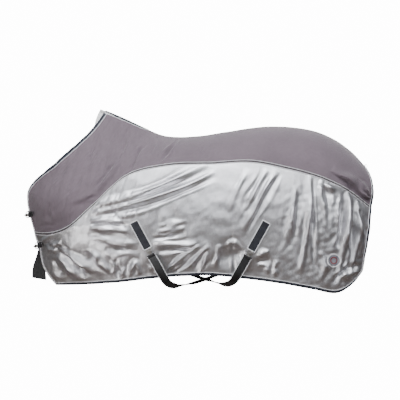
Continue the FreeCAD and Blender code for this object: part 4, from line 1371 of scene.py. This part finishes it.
class RUG_OT_fittings(bpy.types.Operator):
    """Nickel finish of the snaps, rings, hooks, plates and slides"""
    bl_idname = "rug.fittings"
    bl_label = "Metal fittings"

    def execute(self, context):
        nickel = finish("Nickel")
        parts = {item["node"]: item["material_slot"] for item in frame["record"]["subparts"]}
        for name, slot in parts.items():
            if slot == "nickel":
                for holder in frame["nodes"][name].material_slots:
                    holder.material = nickel
        return {"FINISHED"}


class RUG_OT_stage(bpy.types.Operator):
    """Pale floor and backdrop, soft lights and the camera"""
    bl_idname = "rug.stage"
    bl_label = "Stage"

    def execute(self, context):
        scene = context.scene
        make_floor(scene)
        area_light(scene, "overhead_light", (0.2, -1.7, 2.0), (0.25, -0.1, -0.25), (3.4, 1.6), 150,
                   (0.95, 0.975, 1.0))
        area_light(scene, "side_light", (0.4, -4.2, 0.95), (0.2, 0, -0.25), (4.6, 1.5), 54,
                   (0.95, 0.975, 1.0))
        area_light(scene, "front_light", (-2.4, -2.4, -1.0), (-0.5, -0.1, -0.62), (0.9, 0.7), 38,
                   (1.0, 0.99, 0.98))
        area_light(scene, "back_light", (1.2, 2.6, 2.0), (0.2, 0, -0.3), (3.0, 1.4), 60, (1, 1, 1))
        make_world(scene)
        data = bpy.data.cameras.new("camera")
        distance, rise = 30.0, math.radians(4.0)
        data.sensor_width = 36.0
        data.lens = 36.0 * distance / 2.0
        data.clip_end = 200
        camera = bpy.data.objects.new("camera", data)
        aim = Vector((0.175, -0.2, -0.307))
        camera.location = aim + distance * Vector((0, -math.cos(rise), math.sin(rise)))
        camera.rotation_euler = (math.pi / 2 - rise, 0, 0)
        scene.collection.objects.link(camera)
        scene.camera = camera
        return {"FINISHED"}


class RUG_PT_panel(bpy.types.Panel):
    """Buttons and settings of the fly sheet"""
    bl_idname = "RUG_PT_panel"
    bl_label = "Fly sheet"
    bl_space_type = "VIEW_3D"
    bl_region_type = "UI"
    bl_category = "Fly sheet"

    def draw(self, context):
        for settings in (context.scene.rug_sizes, context.scene.rug_colours):
            for name in settings.bl_rna.properties.keys():
                if name not in ("rna_type", "name"):
                    self.layout.prop(settings, name)
        for step in STEPS:
            self.layout.operator(step.bl_idname)


STEPS = (RUG_OT_stage, RUG_OT_panels, RUG_OT_edges, RUG_OT_straps, RUG_OT_neck, RUG_OT_tail,
         RUG_OT_badge, RUG_OT_sheets, RUG_OT_fittings)
CLASSES = (RugSizes, RugColours, RUG_PT_panel) + STEPS


def register():
    for made in CLASSES:
        bpy.utils.register_class(made)
    bpy.types.Scene.rug_sizes = bpy.props.PointerProperty(type=RugSizes)
    bpy.types.Scene.rug_colours = bpy.props.PointerProperty(type=RugColours)


def unregister():
    del bpy.types.Scene.rug_colours
    del bpy.types.Scene.rug_sizes
    for made in reversed(CLASSES):
        bpy.utils.unregister_class(made)


def main():
    register()
    for step in STEPS:
        group, name = step.bl_idname.split(".")
        getattr(getattr(bpy.ops, group), name)()


if __name__ == "__main__":
    main()
